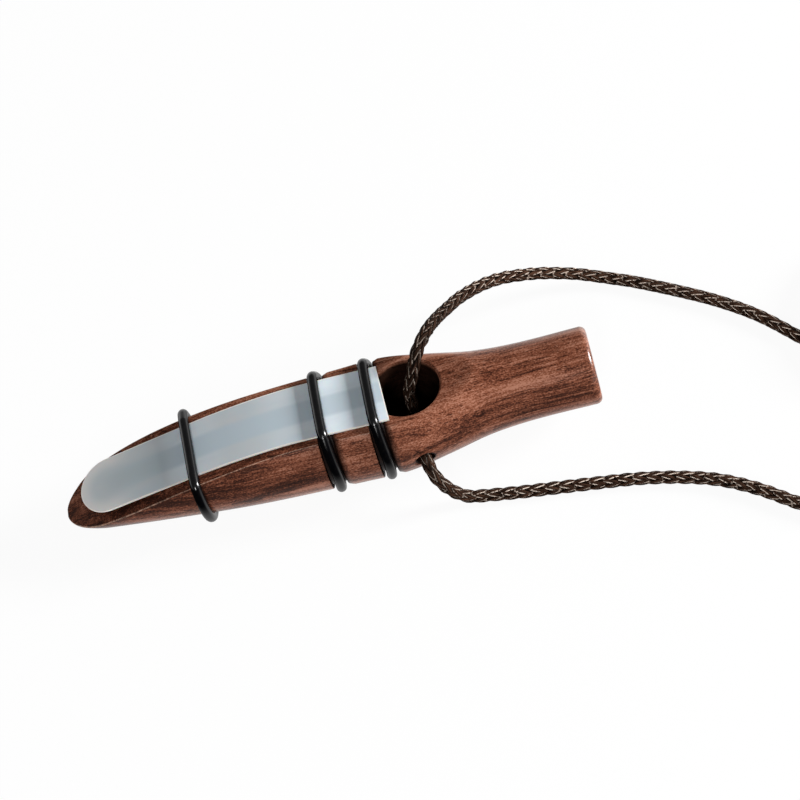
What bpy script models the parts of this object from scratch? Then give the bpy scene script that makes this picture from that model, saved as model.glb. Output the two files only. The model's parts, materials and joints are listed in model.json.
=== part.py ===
"""A roe deer call: a turned walnut body, a plastic reed under three rubber rings, and a braided neck cord.

X runs along the call from the mouth tip to the horn end and Z is up. The call lies reed upwards on z = 0.
"""

import math

import bmesh
import bpy
from mathutils import Vector

MM = 0.001
GAP = 0.25 * MM  # air left between two pieces that touch on the real call

# The turned wood
LENGTH = 87 * MM
TIP_X = -LENGTH / 2
HORN_X = LENGTH / 2
OUTLINE = [  # place along the axis and radius, in millimetres
    (-43.5, 5.52),
    (-26.5, 7.34),
    (-12.3, 8.53),
    (4.3, 9.13),
    (11.5, 9.2),
    (18.4, 8.07),
    (25.5, 6.72),
    (32.5, 6.22),
    (42.7, 6.24),
]
NOSE_START_X = -36.5 * MM
NOSE_ROUND = (9.4 * MM, 4.7 * MM)  # half axes of the nose's ellipse, along the call and across it
NOSE_STEP = 1.0 * MM
HORN_EDGE = 1.0 * MM
TURNED_STEP = 3.4 * MM
TURNED_SIDES = 44

# What is cut in the wood
BOARD_HEIGHT = 6.0 * MM  # the flat that carries the reed, above the axis
BOARD_START_X = 0.5 * MM  # ahead of this the tone board falls
BOARD_CURVE = 98 * MM  # its radius
RUN_OUT_X = 15.5 * MM  # from here the flat rises out of the wood
RUN_OUT_CURVE = 60 * MM
CHANNEL_WIDTH = 4 * MM
CHANNEL_DEPTH = 2 * MM
CHANNEL_FRONT_X = -30.5 * MM
SOUND_HOLE_X = 14.1 * MM
SOUND_HOLE_RADIUS = 5.3 * MM
SOUND_HOLE_FLOOR = -5.0 * MM
BORE_RADIUS = 4.6 * MM
CORD_HOLE_X = 14.5 * MM
CORD_HOLE_RADIUS = 1.5 * MM
CORD_HOLE_ANGLE = math.radians(103)  # from straight up, towards -Y

# The rubber rings, three alike
RING_THICKNESS = 1.8 * MM
RING_RADIUS = 8.92 * MM  # of the middle of the rubber, round the body
TUNING_RING_X = -21.3 * MM
KEEPER_RING_X = {"front_keeper_ring": 0.0, "rear_keeper_ring": 8.2 * MM}
TUNING_RING_CORNER = 1.3 * MM
GROOVE_HALF_WIDTH = 1.15 * MM
GROOVE_CHAMFER = (0.95 * MM, 0.35 * MM)  # horn side of each groove: along the axis, and across it

# The reed
REED_THICKNESS = 0.35 * MM
REED_REAR_X = 10.35 * MM
REED_TIP_X = -40.65 * MM
REED_HALF_WIDTH = 5.4 * MM  # behind the fall of the tone board
REED_TIP_HALF_WIDTH = 5.0 * MM
REED_TIP_LENGTH = 4.8 * MM  # of the rounded end

# The cord, and its routes from inside the call outwards, in millimetres above the floor
CORD_DIAMETER = 2.1 * MM
CORD_REST = CORD_DIAMETER / 2 + 0.02 * MM
CORD_POINT_STEP = 3.4 * MM
CORD_JOIN = 0.3 * MM
UPPER_ROUTE = [
    (14.30, -1.07, 10.18),
    (14.30, 0.74, 11.25),
    (14.45, 1.55, 12.80),
    (15.40, 2.10, 15.30),
    (16.40, 2.95, 17.50),
    (17.45, 4.30, 18.75),
    (18.70, 6.20, 19.00),
    (20.00, 8.90, 17.95),
    (21.70, 12.40, 15.75),
    (23.50, 15.20, 14.00),
    (25.30, 17.70, 12.50),
    (28.70, 21.10, 10.05),
    (32.10, 23.30, 8.00),
    (35.35, 24.50, 6.20),
    (38.55, 25.10, 4.70),
    (41.75, 25.20, 3.35),
    (44.90, 24.85, 2.25),
    (47.95, 23.95, 1.45),
    (51.00, 22.60, 1.07),
    (54.00, 20.90, 1.07),
    (59.85, 17.10, 1.07),
    (65.55, 13.00, 1.07),
    (71.00, 8.10, 1.07),
    (75.90, 2.20, 1.07),
    (80.00, -3.10, 1.07),
]
LOWER_ROUTE = [
    (14.30, -1.33, 10.02),
    (14.30, -3.14, 8.95),
    (14.50, -4.60, 8.76),
    (14.50, -6.70, 8.27),
    (14.60, -8.90, 7.76),
    (14.95, -10.60, 6.95),
    (15.65, -11.60, 5.60),
    (16.75, -12.20, 3.80),
    (18.00, -12.50, 2.30),
    (19.45, -12.80, 1.35),
    (21.30, -13.10, 1.07),
    (27.10, -14.20, 1.07),
    (33.40, -15.20, 1.07),
    (39.60, -16.20, 1.07),
    (45.80, -17.30, 1.07),
    (51.80, -18.90, 1.07),
    (57.60, -21.20, 1.07),
    (63.10, -24.70, 1.07),
    (68.10, -28.90, 1.07),
    (73.00, -32.60, 1.07),
    (79.00, -34.80, 1.07),
    (85.50, -34.20, 1.07),
    (92.00, -30.60, 1.07),
    (97.50, -25.20, 1.07),
    (102.00, -20.40, 1.30),
    (105.80, -17.70, 2.40),
    (108.40, -17.20, 3.00),
    (110.50, -17.20, 3.00),
]

# The stored coil: it spirals in on the floor, climbs, and spirals out on top
COIL_CENTRE = Vector((97.3, 2.4, 0)) * MM
COIL_OUTER_RADIUS = 17 * MM
COIL_PITCH = 2.55 * MM  # between two turns side by side
COIL_LAYER = 2.65 * MM  # between the two layers
COIL_START = math.radians(218)
COIL_END = math.radians(270 + 8 * 360)
COIL_POINTS_PER_TURN = 24
TIE_ANGLE = math.radians(45)
TIE_THICKNESS = 0.6 * MM
TIE_LIFT = 0.95 * MM  # how far the coil rises over the tie that passes under it
TIE_LIFT_WIDTH = math.radians(40)
TIE_CORNER = 1.6 * MM

# The knot
KNOT_RADIUS = 3.5 * MM
KNOT_LENGTH = 7 * MM
KNOT_EDGE = 1.0 * MM
KNOT_FACE_X = 110.5 * MM + CORD_JOIN
KNOT_Y = -15.9 * MM

AXIS_Z = RING_RADIUS + RING_THICKNESS / 2  # the call lies on its rings
CORD_NODE_SIDES = 2  # bevel_resolution, which gives eight sides
COIL_NODE_SIDES = 1
RING_NODE_SIDES = 3


def new_collection(name, hidden=False):
    collection = bpy.data.collections.new(name)
    bpy.context.scene.collection.children.link(collection)
    collection.hide_render = hidden
    return collection


def new_material(name, colour, roughness):
    material = bpy.data.materials.new(name)
    material.use_nodes = True
    shader = material.node_tree.nodes["Principled BSDF"]
    shader.inputs["Base Color"].default_value = (*colour, 1)
    shader.inputs["Roughness"].default_value = roughness
    shader.inputs["Metallic"].default_value = 0
    return material


def add_part(name, data, material, parent=None, location=(0, 0, 0)):
    obj = bpy.data.objects.new(name, data)
    obj.parent = parent
    obj.location = location
    data.materials.append(material)
    PARTS.objects.link(obj)
    return obj


def add_cutter(name, mesh, parent):
    cutter = bpy.data.objects.new(name, mesh)
    cutter.parent = parent
    cutter.hide_render = True
    cutter.display_type = "WIRE"
    CUTTERS.objects.link(cutter)
    return cutter


def cut(obj, cutter):
    boolean = obj.modifiers.new("cut " + cutter.name, "BOOLEAN")
    boolean.operation = "DIFFERENCE"
    boolean.solver = "EXACT"
    boolean.object = cutter


def smooth_value(knots, x):
    """The value at x of a smooth curve through the knots, whose slopes come from each knot's neighbours."""
    last = len(knots) - 1
    i = max(k for k in range(last) if knots[k][0] <= x or k == 0)

    def slope(k):
        low, high = knots[max(k - 1, 0)], knots[min(k + 1, last)]
        return (high[1] - low[1]) / (high[0] - low[0])

    width = knots[i + 1][0] - knots[i][0]
    t = (x - knots[i][0]) / width
    rise = 3 * t**2 - 2 * t**3
    value = knots[i][1] * (1 - rise) + knots[i + 1][1] * rise
    return value + width * ((t**3 - 2 * t**2 + t) * slope(i) + (t**3 - t**2) * slope(i + 1))


def smooth_route(route, step, ends=()):
    """Points a step apart on a smooth curve through the route, which is in millimetres.

    The first and last stretches of the route stay straight, so that each end is square to what it meets.
    """
    controls = [Vector(p) * MM for p in route] + list(ends)
    fine = []
    pieces = 24
    for a, b, c, d in zip(controls, controls[1:], controls[2:], controls[3:]):
        for k in range(pieces):
            t = k / pieces
            bend = (2 * a - 5 * b + 4 * c - d) * t**2 + (3 * b - a - 3 * c + d) * t**3
            fine.append(b + ((c - a) * t + bend) / 2)
    fine.append(controls[-2])
    for p in fine:
        p.z = max(p.z, CORD_REST)
    along = [0.0]
    for p, q in zip(fine, fine[1:]):
        along.append(along[-1] + (q - p).length)
    count = round(along[-1] / step)
    chosen = [controls[0]]
    for k in range(count + 1):
        goal = along[-1] * k / count
        i = max(j for j in range(len(along) - 1) if along[j] <= goal)
        share = (goal - along[i]) / (along[i + 1] - along[i])
        chosen.append(fine[i].lerp(fine[i + 1], share))
    return chosen + [controls[-1]]


def path_length(points):
    return sum((q - p).length for p, q in zip(points, points[1:]))


def tube_curve(name, points, thickness, sides, closed=False):
    curve = bpy.data.curves.new(name, "CURVE")
    curve.dimensions = "3D"
    curve.bevel_depth = thickness / 2
    curve.bevel_resolution = sides
    curve.use_fill_caps = not closed
    spline = curve.splines.new("POLY")
    spline.points.add(len(points) - 1)
    spline.use_cyclic_u = closed
    for spline_point, point in zip(spline.points, points):
        spline_point.co = (*point, 1)
    return curve


def arc(centre, radius, start, end, count):
    """Points (first, second coordinate) on an arc, both ends included."""
    steps = [start + (end - start) * k / (count - 1) for k in range(count)]
    return [(centre[0] + radius * math.cos(s), centre[1] + radius * math.sin(s)) for s in steps]


def wood_radius(x):
    """Radius of the turned wood, which drops from its straight taper along an ellipse at the nose."""
    radius = smooth_value(OUTLINE, x / MM) * MM
    into_nose = max(NOSE_START_X - x, 0) / NOSE_ROUND[0]
    return radius - NOSE_ROUND[1] * (1 - math.sqrt(1 - into_nose**2))


def board_height(x):
    """Height of the tone board and of the flat behind it, above the axis."""
    if x < BOARD_START_X:
        return BOARD_HEIGHT - (x - BOARD_START_X) ** 2 / (2 * BOARD_CURVE)
    return BOARD_HEIGHT + max(x - RUN_OUT_X, 0) ** 2 / (2 * RUN_OUT_CURVE)


def steps_between(start, end, step):
    count = max(1, round((end - start) / step))
    return [start + (end - start) * k / count for k in range(count + 1)]


def turned_profile():
    """(x, radius) of the wood, from the nose along the outside to the horn end and back down the bore."""
    nose = steps_between(TIP_X, NOSE_START_X, NOSE_STEP)
    profile = [(TIP_X, 0.0)] + [(x, wood_radius(x)) for x in nose]
    floor = RING_RADIUS - RING_THICKNESS / 2 - GAP
    reached = NOSE_START_X
    for ring_x in KEEPER_RING_X.values():
        front, rear = ring_x - GROOVE_HALF_WIDTH, ring_x + GROOVE_HALF_WIDTH
        lip = rear + GROOVE_CHAMFER[0]
        profile += [(x, wood_radius(x)) for x in steps_between(reached, front, TURNED_STEP)[1:]]
        profile += [(front, floor), (rear, floor)]
        profile += [(rear, wood_radius(lip) - GROOVE_CHAMFER[1]), (lip, wood_radius(lip))]
        reached = lip
    edge_x = HORN_X - HORN_EDGE
    profile += [(x, wood_radius(x)) for x in steps_between(reached, edge_x, TURNED_STEP)[1:]]
    edge_centre = (edge_x, wood_radius(edge_x) - HORN_EDGE)
    profile += arc(edge_centre, HORN_EDGE, math.pi / 2, 0, 4)[1:]
    profile += [(HORN_X, BORE_RADIUS), (SOUND_HOLE_X, BORE_RADIUS), (SOUND_HOLE_X, 0.0)]
    return profile


def prism(name, outline, half_width):
    """A solid with this outline in X and Z, as wide as twice half_width across Y, as a mesh."""
    curve = bpy.data.curves.new(name, "CURVE")
    curve.dimensions = "2D"
    curve.fill_mode = "BOTH"
    curve.extrude = half_width
    spline = curve.splines.new("POLY")
    spline.points.add(len(outline) - 1)
    spline.use_cyclic_u = True
    for spline_point, (x, z) in zip(spline.points, outline):
        spline_point.co = (x, z, 0, 1)
    guide = bpy.data.objects.new(name, curve)
    CUTTERS.objects.link(guide)
    graph = bpy.context.evaluated_depsgraph_get()
    mesh = bpy.data.meshes.new_from_object(guide.evaluated_get(graph))
    bpy.data.objects.remove(guide)
    shape = bmesh.new()
    shape.from_mesh(mesh)
    bmesh.ops.remove_doubles(shape, verts=shape.verts, dist=0.01 * MM)
    for vertex in shape.verts:
        vertex.co = (vertex.co.x, -vertex.co.z, vertex.co.y)
    bmesh.ops.recalc_face_normals(shape, faces=shape.faces)
    shape.to_mesh(mesh)
    shape.free()
    return mesh


def cylinder(name, radius, start, end, sides=32):
    """A closed cylinder between two points, as a mesh."""
    way = Vector(end) - Vector(start)
    shape = bmesh.new()
    bmesh.ops.create_cone(
        shape, cap_ends=True, segments=sides, radius1=radius, radius2=radius, depth=way.length
    )
    shape.transform(way.to_track_quat("Z", "Y").to_matrix().to_4x4())
    bmesh.ops.translate(shape, verts=shape.verts, vec=(Vector(start) + Vector(end)) / 2)
    mesh = bpy.data.meshes.new(name)
    shape.to_mesh(mesh)
    shape.free()
    return mesh


def make_body(axis, material):
    """The turned wood lies along X. Its profile is drawn along the object's own Z, which is laid over."""
    mesh = bpy.data.meshes.new("call_body")
    shape = bmesh.new()
    points = [shape.verts.new((radius, 0, x)) for x, radius in reversed(turned_profile())]
    for a, b in zip(points, points[1:]):
        shape.edges.new((a, b))
    shape.to_mesh(mesh)
    shape.free()
    body = add_part("call_body", mesh, material, axis)
    body.rotation_euler = (0, math.pi / 2, 0)
    screw = body.modifiers.new("turning", "SCREW")
    screw.axis = "Z"
    screw.steps = screw.render_steps = TURNED_SIDES
    screw.use_merge_vertices = True
    screw.merge_threshold = 0.01 * MM
    screw.use_smooth_shade = True

    clear = 20 * MM
    board_end = 27.5 * MM
    stations = steps_between(TIP_X - 2 * MM, BOARD_START_X, 3 * MM)
    stations += steps_between(RUN_OUT_X, board_end, 3 * MM)
    board = [(x, board_height(x)) for x in stations]
    above = [(board_end, clear), (TIP_X - 2 * MM, clear)]
    cut(body, add_cutter("tone_board_cutter", prism("tone_board", board + above, clear), axis))

    stations = steps_between(CHANNEL_FRONT_X, BOARD_START_X, 4 * MM) + [SOUND_HOLE_X]
    channel = [(x, board_height(x) - CHANNEL_DEPTH) for x in stations]
    above = [(SOUND_HOLE_X, clear), (CHANNEL_FRONT_X, clear)]
    mesh = prism("air_channel", channel + above, CHANNEL_WIDTH / 2)
    cut(body, add_cutter("air_channel_cutter", mesh, axis))

    floor = (SOUND_HOLE_X, 0, SOUND_HOLE_FLOOR)
    mesh = cylinder("sound_hole", SOUND_HOLE_RADIUS, floor, (SOUND_HOLE_X, 0, clear), 40)
    cut(body, add_cutter("sound_hole_cutter", mesh, axis))

    outward = Vector((0, -math.sin(CORD_HOLE_ANGLE), math.cos(CORD_HOLE_ANGLE)))
    centre = Vector((CORD_HOLE_X, 0, 0))
    mesh = cylinder("cord_hole", CORD_HOLE_RADIUS, centre + outward * 3 * MM, centre + outward * clear, 16)
    cut(body, add_cutter("cord_hole_cutter", mesh, axis))
    return body


def reed_top(x):
    """Height of the reed's upper face above the axis. Ahead of the tuning ring the reed runs on straight."""
    lift = GAP + REED_THICKNESS
    if x > TUNING_RING_X:
        return board_height(x) + lift
    slope = (BOARD_START_X - TUNING_RING_X) / BOARD_CURVE
    return board_height(TUNING_RING_X) + lift + slope * (x - TUNING_RING_X)


def reed_half_width(x):
    taper = min(x - BOARD_START_X, 0) / (REED_TIP_X - BOARD_START_X)
    half = REED_HALF_WIDTH + (REED_TIP_HALF_WIDTH - REED_HALF_WIDTH) * taper
    into_tip = max(REED_TIP_X + REED_TIP_LENGTH - x, 0) / REED_TIP_LENGTH
    return half * math.sqrt(max(1 - into_tip**2, 0.0))


def make_reed(axis, material):
    """A thin strip that follows the tone board. Its origin is where it flexes, under the tuning ring."""
    pivot = Vector((TUNING_RING_X, 0, reed_top(TUNING_RING_X)))
    tip_turns = [math.pi / 2 * k / 7 for k in range(1, 8)]
    tip_base = REED_TIP_X + REED_TIP_LENGTH
    stations = [tip_base - REED_TIP_LENGTH * math.cos(t) for t in tip_turns]
    stations += steps_between(tip_base, BOARD_START_X, 3 * MM)[1:] + [REED_REAR_X]
    shape = bmesh.new()
    rows = []
    for x in stations:
        half = reed_half_width(x)
        rows.append([shape.verts.new(Vector((x, y, reed_top(x))) - pivot) for y in (-half, half)])
    for (a, b), (d, c) in zip(rows, rows[1:]):
        shape.faces.new((a, d, c, b))
    mesh = bpy.data.meshes.new("reed")
    shape.to_mesh(mesh)
    shape.free()
    reed = add_part("reed", mesh, material, axis, pivot)
    solidify = reed.modifiers.new("reed thickness", "SOLIDIFY")
    solidify.thickness = REED_THICKNESS
    solidify.offset = -1
    return reed


def ring_path(top, corner_y, corner_z, corner_radius):
    """A ring stretched round the wood and over the reed, seen along X: (y, z) points, from the top round."""
    reach = math.hypot(corner_y, corner_z)
    lean = math.acos(min(1.0, (RING_RADIUS - corner_radius) / reach))
    leave = math.atan2(corner_z, corner_y) - lean
    half = [(0.0, top)]
    half += arc((corner_y, corner_z), corner_radius, math.pi / 2, leave, 5)
    half += arc((0.0, 0.0), RING_RADIUS, leave, -math.pi / 2, 17)
    other = [(-y, z) for y, z in reversed(half[1:-1])]
    return half + other


def make_ring(name, x, path, axis, material):
    points = [Vector((0, y, z)) for y, z in path]
    curve = tube_curve(name, points, RING_THICKNESS, RING_NODE_SIDES, closed=True)
    return add_part(name, curve, material, axis, (x, 0, 0))


def make_rings(axis, material):
    clear = RING_THICKNESS / 2 + GAP
    slope = math.atan((BOARD_START_X - TUNING_RING_X) / BOARD_CURVE)
    top = reed_top(TUNING_RING_X) + clear / math.cos(slope)
    corner_z = top - TUNING_RING_CORNER
    corner_y = math.sqrt((RING_RADIUS - TUNING_RING_CORNER) ** 2 - corner_z**2)
    path = ring_path(top, corner_y, corner_z, TUNING_RING_CORNER)
    make_ring("tuning_ring", TUNING_RING_X, path, axis, material)
    for name, x in KEEPER_RING_X.items():
        path = ring_path(reed_top(x) + clear, REED_HALF_WIDTH, reed_top(x), clear)
        make_ring(name, x, path, axis, material)


def coil_point(angle):
    """A point of the coil's middle line. The spiral reverses half way, and climbs a layer there."""
    middle = (COIL_START + COIL_END) / 2
    turns_out = (COIL_END - angle if angle > middle else angle - COIL_START) / math.tau
    radius = COIL_OUTER_RADIUS - COIL_PITCH * turns_out
    climb = min(max((angle - middle) / math.pi + 0.5, 0), 1)
    away = math.remainder(angle - TIE_ANGLE, math.tau) / TIE_LIFT_WIDTH
    z = CORD_REST + COIL_LAYER * climb + TIE_LIFT * math.exp(-(away**2))
    return COIL_CENTRE + Vector((radius * math.cos(angle), radius * math.sin(angle), z))


def coil_ends():
    """Where the coil's two straight ends stop, and which way the cord runs there."""
    ends = []
    for angle, side in ((COIL_START, -1), (COIL_END, 1)):
        way = Vector((-math.sin(angle), math.cos(angle), 0))
        ends.append((coil_point(angle) + way * side * CORD_DIAMETER, way))
    return ends


def least_gap(points):
    """The least air between turns of the coil, measured between points over a third of a turn apart."""
    apart = COIL_POINTS_PER_TURN // 3
    gaps = [(p - q).length for i, p in enumerate(points) for q in points[i + apart:]]
    return min(gaps) - CORD_DIAMETER


def make_cord(material, tie_material):
    (coil_in, way_in), (coil_out, way_out) = coil_ends()
    ends = [coil_in - way_in * (CORD_JOIN + CORD_DIAMETER), coil_in - way_in * CORD_JOIN]
    upper = smooth_route(UPPER_ROUTE, CORD_POINT_STEP, ends)
    add_part("lanyard_upper_run", tube_curve("upper", upper, CORD_DIAMETER, CORD_NODE_SIDES), material)
    lower = smooth_route(LOWER_ROUTE, CORD_POINT_STEP)
    add_part("lanyard_lower_run", tube_curve("lower", lower, CORD_DIAMETER, CORD_NODE_SIDES), material)

    count = round((COIL_END - COIL_START) / math.tau * COIL_POINTS_PER_TURN)
    angles = [COIL_START + (COIL_END - COIL_START) * k / count for k in range(count + 1)]
    coil = [coil_in] + [coil_point(a) for a in angles] + [coil_out]
    add_part("lanyard_coil", tube_curve("coil", coil, CORD_DIAMETER, COIL_NODE_SIDES), material)

    start = coil_out + way_out * CORD_JOIN
    end = Vector((KNOT_FACE_X - CORD_JOIN, start.y, 3.0 * MM))
    tail = [start.lerp(end, k / 4) for k in range(5)]
    tail[1].z = start.z - 0.1 * MM
    tail[3].z = end.z
    add_part("lanyard_tail", tube_curve("tail", tail, CORD_DIAMETER, CORD_NODE_SIDES), material)
    make_knot(material)
    make_tie(tie_material)
    lengths = [path_length(p) for p in (upper, coil, tail, lower)]
    print("cord, upper run, coil, tail and lower run in mm:", [round(n / MM) for n in lengths])
    print(f"coil, least gap to itself: {least_gap(coil) / MM:.2f} mm")


def make_knot(material):
    centre = Vector((KNOT_FACE_X + KNOT_LENGTH / 2, KNOT_Y, KNOT_RADIUS + 0.02 * MM))
    half = Vector((KNOT_LENGTH / 2, 0, 0))
    knot = add_part("lanyard_knot", cylinder("knot", KNOT_RADIUS, -half, half, 20), material, None, centre)
    bevel = knot.modifiers.new("round edges", "BEVEL")
    bevel.width = KNOT_EDGE
    bevel.segments = 2
    bevel.limit_method = "ANGLE"


def make_tie(material):
    """A wire loop round all the coil's turns, standing in a plane through the coil's axis."""
    half_wire = TIE_THICKNESS / 2
    turns = (COIL_END - COIL_START) / 2 / math.tau
    inner = COIL_OUTER_RADIUS - COIL_PITCH * turns - half_wire - GAP
    outer = COIL_OUTER_RADIUS + half_wire + GAP
    bottom = half_wire + 0.02 * MM
    top = CORD_REST + COIL_LAYER + TIE_LIFT + CORD_DIAMETER / 2 + GAP + half_wire
    corners = [
        (outer - TIE_CORNER, bottom + TIE_CORNER),
        (outer - TIE_CORNER, top - TIE_CORNER),
        (inner + TIE_CORNER, top - TIE_CORNER),
        (inner + TIE_CORNER, bottom + TIE_CORNER),
    ]
    loop = []
    for k, corner in enumerate(corners):
        start = math.pi / 2 * (k - 1)
        loop += arc(corner, TIE_CORNER, start, start + math.pi / 2, 4)
    way = Vector((math.cos(TIE_ANGLE), math.sin(TIE_ANGLE), 0))
    points = [COIL_CENTRE + way * r + Vector((0, 0, z)) for r, z in loop]
    add_part("coil_tie", tube_curve("tie", points, TIE_THICKNESS, COIL_NODE_SIDES, closed=True), material)


for old in list(bpy.data.objects):
    bpy.data.objects.remove(old)
PARTS = new_collection("roe_deer_call")
CUTTERS = new_collection("cutters", hidden=True)

call_axis = bpy.data.objects.new("call_axis", None)
call_axis.location = (0, 0, AXIS_Z)
PARTS.objects.link(call_axis)

walnut = new_material("oiled walnut", (0.17, 0.065, 0.036), 0.42)
reed_plastic = new_material("milky reed plastic", (0.40, 0.43, 0.45), 0.35)
black_rubber = new_material("black rubber", (0.012, 0.012, 0.013), 0.3)
brown_braid = new_material("dark brown braid", (0.035, 0.022, 0.016), 0.6)
tie_wire = new_material("black coated wire", (0.02, 0.02, 0.02), 0.5)

make_body(call_axis, walnut)
make_reed(call_axis, reed_plastic)
make_rings(call_axis, black_rubber)
make_cord(brown_braid, tie_wire)
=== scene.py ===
# %% [markdown]
# # A roe deer call
#
# The call is a piece of turned walnut, a hand's width long. A sloped tone board is cut along its front
# half, a milky plastic reed lies on the board, and three rubber rings hold the reed down. The front ring
# slides to tune it. A braided neck cord goes in at the sound hole and comes out of the flank.
#
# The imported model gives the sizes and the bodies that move. This script dresses it: every piece here is a
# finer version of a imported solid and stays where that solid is.

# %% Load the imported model
import json
import math

import bmesh
import bpy
from mathutils import Matrix, Vector

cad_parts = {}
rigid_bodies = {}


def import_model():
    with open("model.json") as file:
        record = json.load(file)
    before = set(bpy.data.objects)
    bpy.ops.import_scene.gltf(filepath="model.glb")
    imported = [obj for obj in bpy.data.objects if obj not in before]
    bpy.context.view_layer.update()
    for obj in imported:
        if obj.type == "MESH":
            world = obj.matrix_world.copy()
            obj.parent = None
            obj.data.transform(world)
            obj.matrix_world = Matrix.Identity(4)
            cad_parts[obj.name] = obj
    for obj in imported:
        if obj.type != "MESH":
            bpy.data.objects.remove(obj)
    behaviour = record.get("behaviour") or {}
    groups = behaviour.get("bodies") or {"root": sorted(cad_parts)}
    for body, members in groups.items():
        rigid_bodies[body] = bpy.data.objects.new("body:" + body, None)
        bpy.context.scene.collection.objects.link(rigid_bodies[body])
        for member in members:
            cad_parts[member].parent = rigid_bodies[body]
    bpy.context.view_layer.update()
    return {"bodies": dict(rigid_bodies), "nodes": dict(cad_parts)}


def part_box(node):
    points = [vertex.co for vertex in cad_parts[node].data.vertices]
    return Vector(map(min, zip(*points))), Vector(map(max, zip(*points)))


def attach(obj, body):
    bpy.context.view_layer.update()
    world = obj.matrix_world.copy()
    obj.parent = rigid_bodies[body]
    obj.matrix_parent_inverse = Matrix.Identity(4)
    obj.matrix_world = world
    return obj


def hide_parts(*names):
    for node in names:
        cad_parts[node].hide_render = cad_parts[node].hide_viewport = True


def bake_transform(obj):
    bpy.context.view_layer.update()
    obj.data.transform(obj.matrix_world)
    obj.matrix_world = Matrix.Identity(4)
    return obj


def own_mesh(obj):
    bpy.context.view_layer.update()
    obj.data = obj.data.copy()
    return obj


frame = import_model()
MM = 0.001


def middle(node):
    """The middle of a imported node's box."""
    low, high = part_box(node)
    return (low + high) / 2


print("bodies:", ", ".join(frame["bodies"]))

# %% [markdown]
# ## The camera
#
# The photograph looks down on the call from one side, with the mouth on the left. Parallel edges of the call
# hardly converge, so the lens is long. The camera is also turned about its own line of sight, which is why
# the call climbs towards the right of the picture although it lies level.

# %% Place the camera
PHOTO_SIDE = 800  # pixels
FOCAL_LENGTH = 2850  # pixels
SENSOR = 36  # millimetres
CAMERA_TARGET = Vector((12.55, 2.02, 10.49)) * MM
CAMERA_DISTANCE = 449.04 * MM
CAMERA_AZIMUTH = math.radians(5.6)
CAMERA_ELEVATION = math.radians(51.4)
CAMERA_ROLL = math.radians(18.7)

level_right = Vector((math.cos(CAMERA_AZIMUTH), math.sin(CAMERA_AZIMUTH), 0))
forward = Vector((-level_right.y, level_right.x, 0))
back = Vector((0, 0, math.sin(CAMERA_ELEVATION))) - forward * math.cos(CAMERA_ELEVATION)
level_up = back.cross(level_right)
right = level_right * math.cos(CAMERA_ROLL) - level_up * math.sin(CAMERA_ROLL)
up = level_right * math.sin(CAMERA_ROLL) + level_up * math.cos(CAMERA_ROLL)

camera = bpy.data.objects.new("camera", bpy.data.cameras.new("camera"))
camera.data.sensor_width = SENSOR
camera.data.lens = SENSOR * FOCAL_LENGTH / PHOTO_SIDE
turn = Matrix((right, up, back)).transposed().to_4x4()
camera.matrix_world = Matrix.Translation(CAMERA_TARGET + back * CAMERA_DISTANCE) @ turn
bpy.context.scene.collection.objects.link(camera)
bpy.context.scene.camera = camera
print(f"camera {CAMERA_DISTANCE:.3f} m away, lens {camera.data.lens:.1f} mm")

# %% [markdown]
# ## Writing nodes as expressions
#
# Shader and geometry trees are both made of nodes and links. Placing each Math node by hand hides the
# formula, so one small class stands for a node's output and lets Python's operators add the nodes. A second
# class stands for the tree and adds every other kind of node.

# %% A socket that can be calculated with


class Link:
    """An output of a node. Arithmetic on it adds Math nodes to the same tree."""

    def __init__(self, graph, socket):
        self.graph = graph
        self.socket = socket

    def out(self, name):
        """Another output of the same node."""
        return Link(self.graph, self.socket.node.outputs[name])

    def __add__(self, other):
        return self.graph.math("ADD", self, other)

    def __radd__(self, other):
        return self.graph.math("ADD", other, self)

    def __sub__(self, other):
        return self.graph.math("SUBTRACT", self, other)

    def __rsub__(self, other):
        return self.graph.math("SUBTRACT", other, self)

    def __mul__(self, other):
        return self.graph.math("MULTIPLY", self, other)

    def __rmul__(self, other):
        return self.graph.math("MULTIPLY", other, self)

    def __truediv__(self, other):
        return self.graph.math("DIVIDE", self, other)

    def __rtruediv__(self, other):
        return self.graph.math("DIVIDE", other, self)


# %% A tree of nodes


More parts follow.
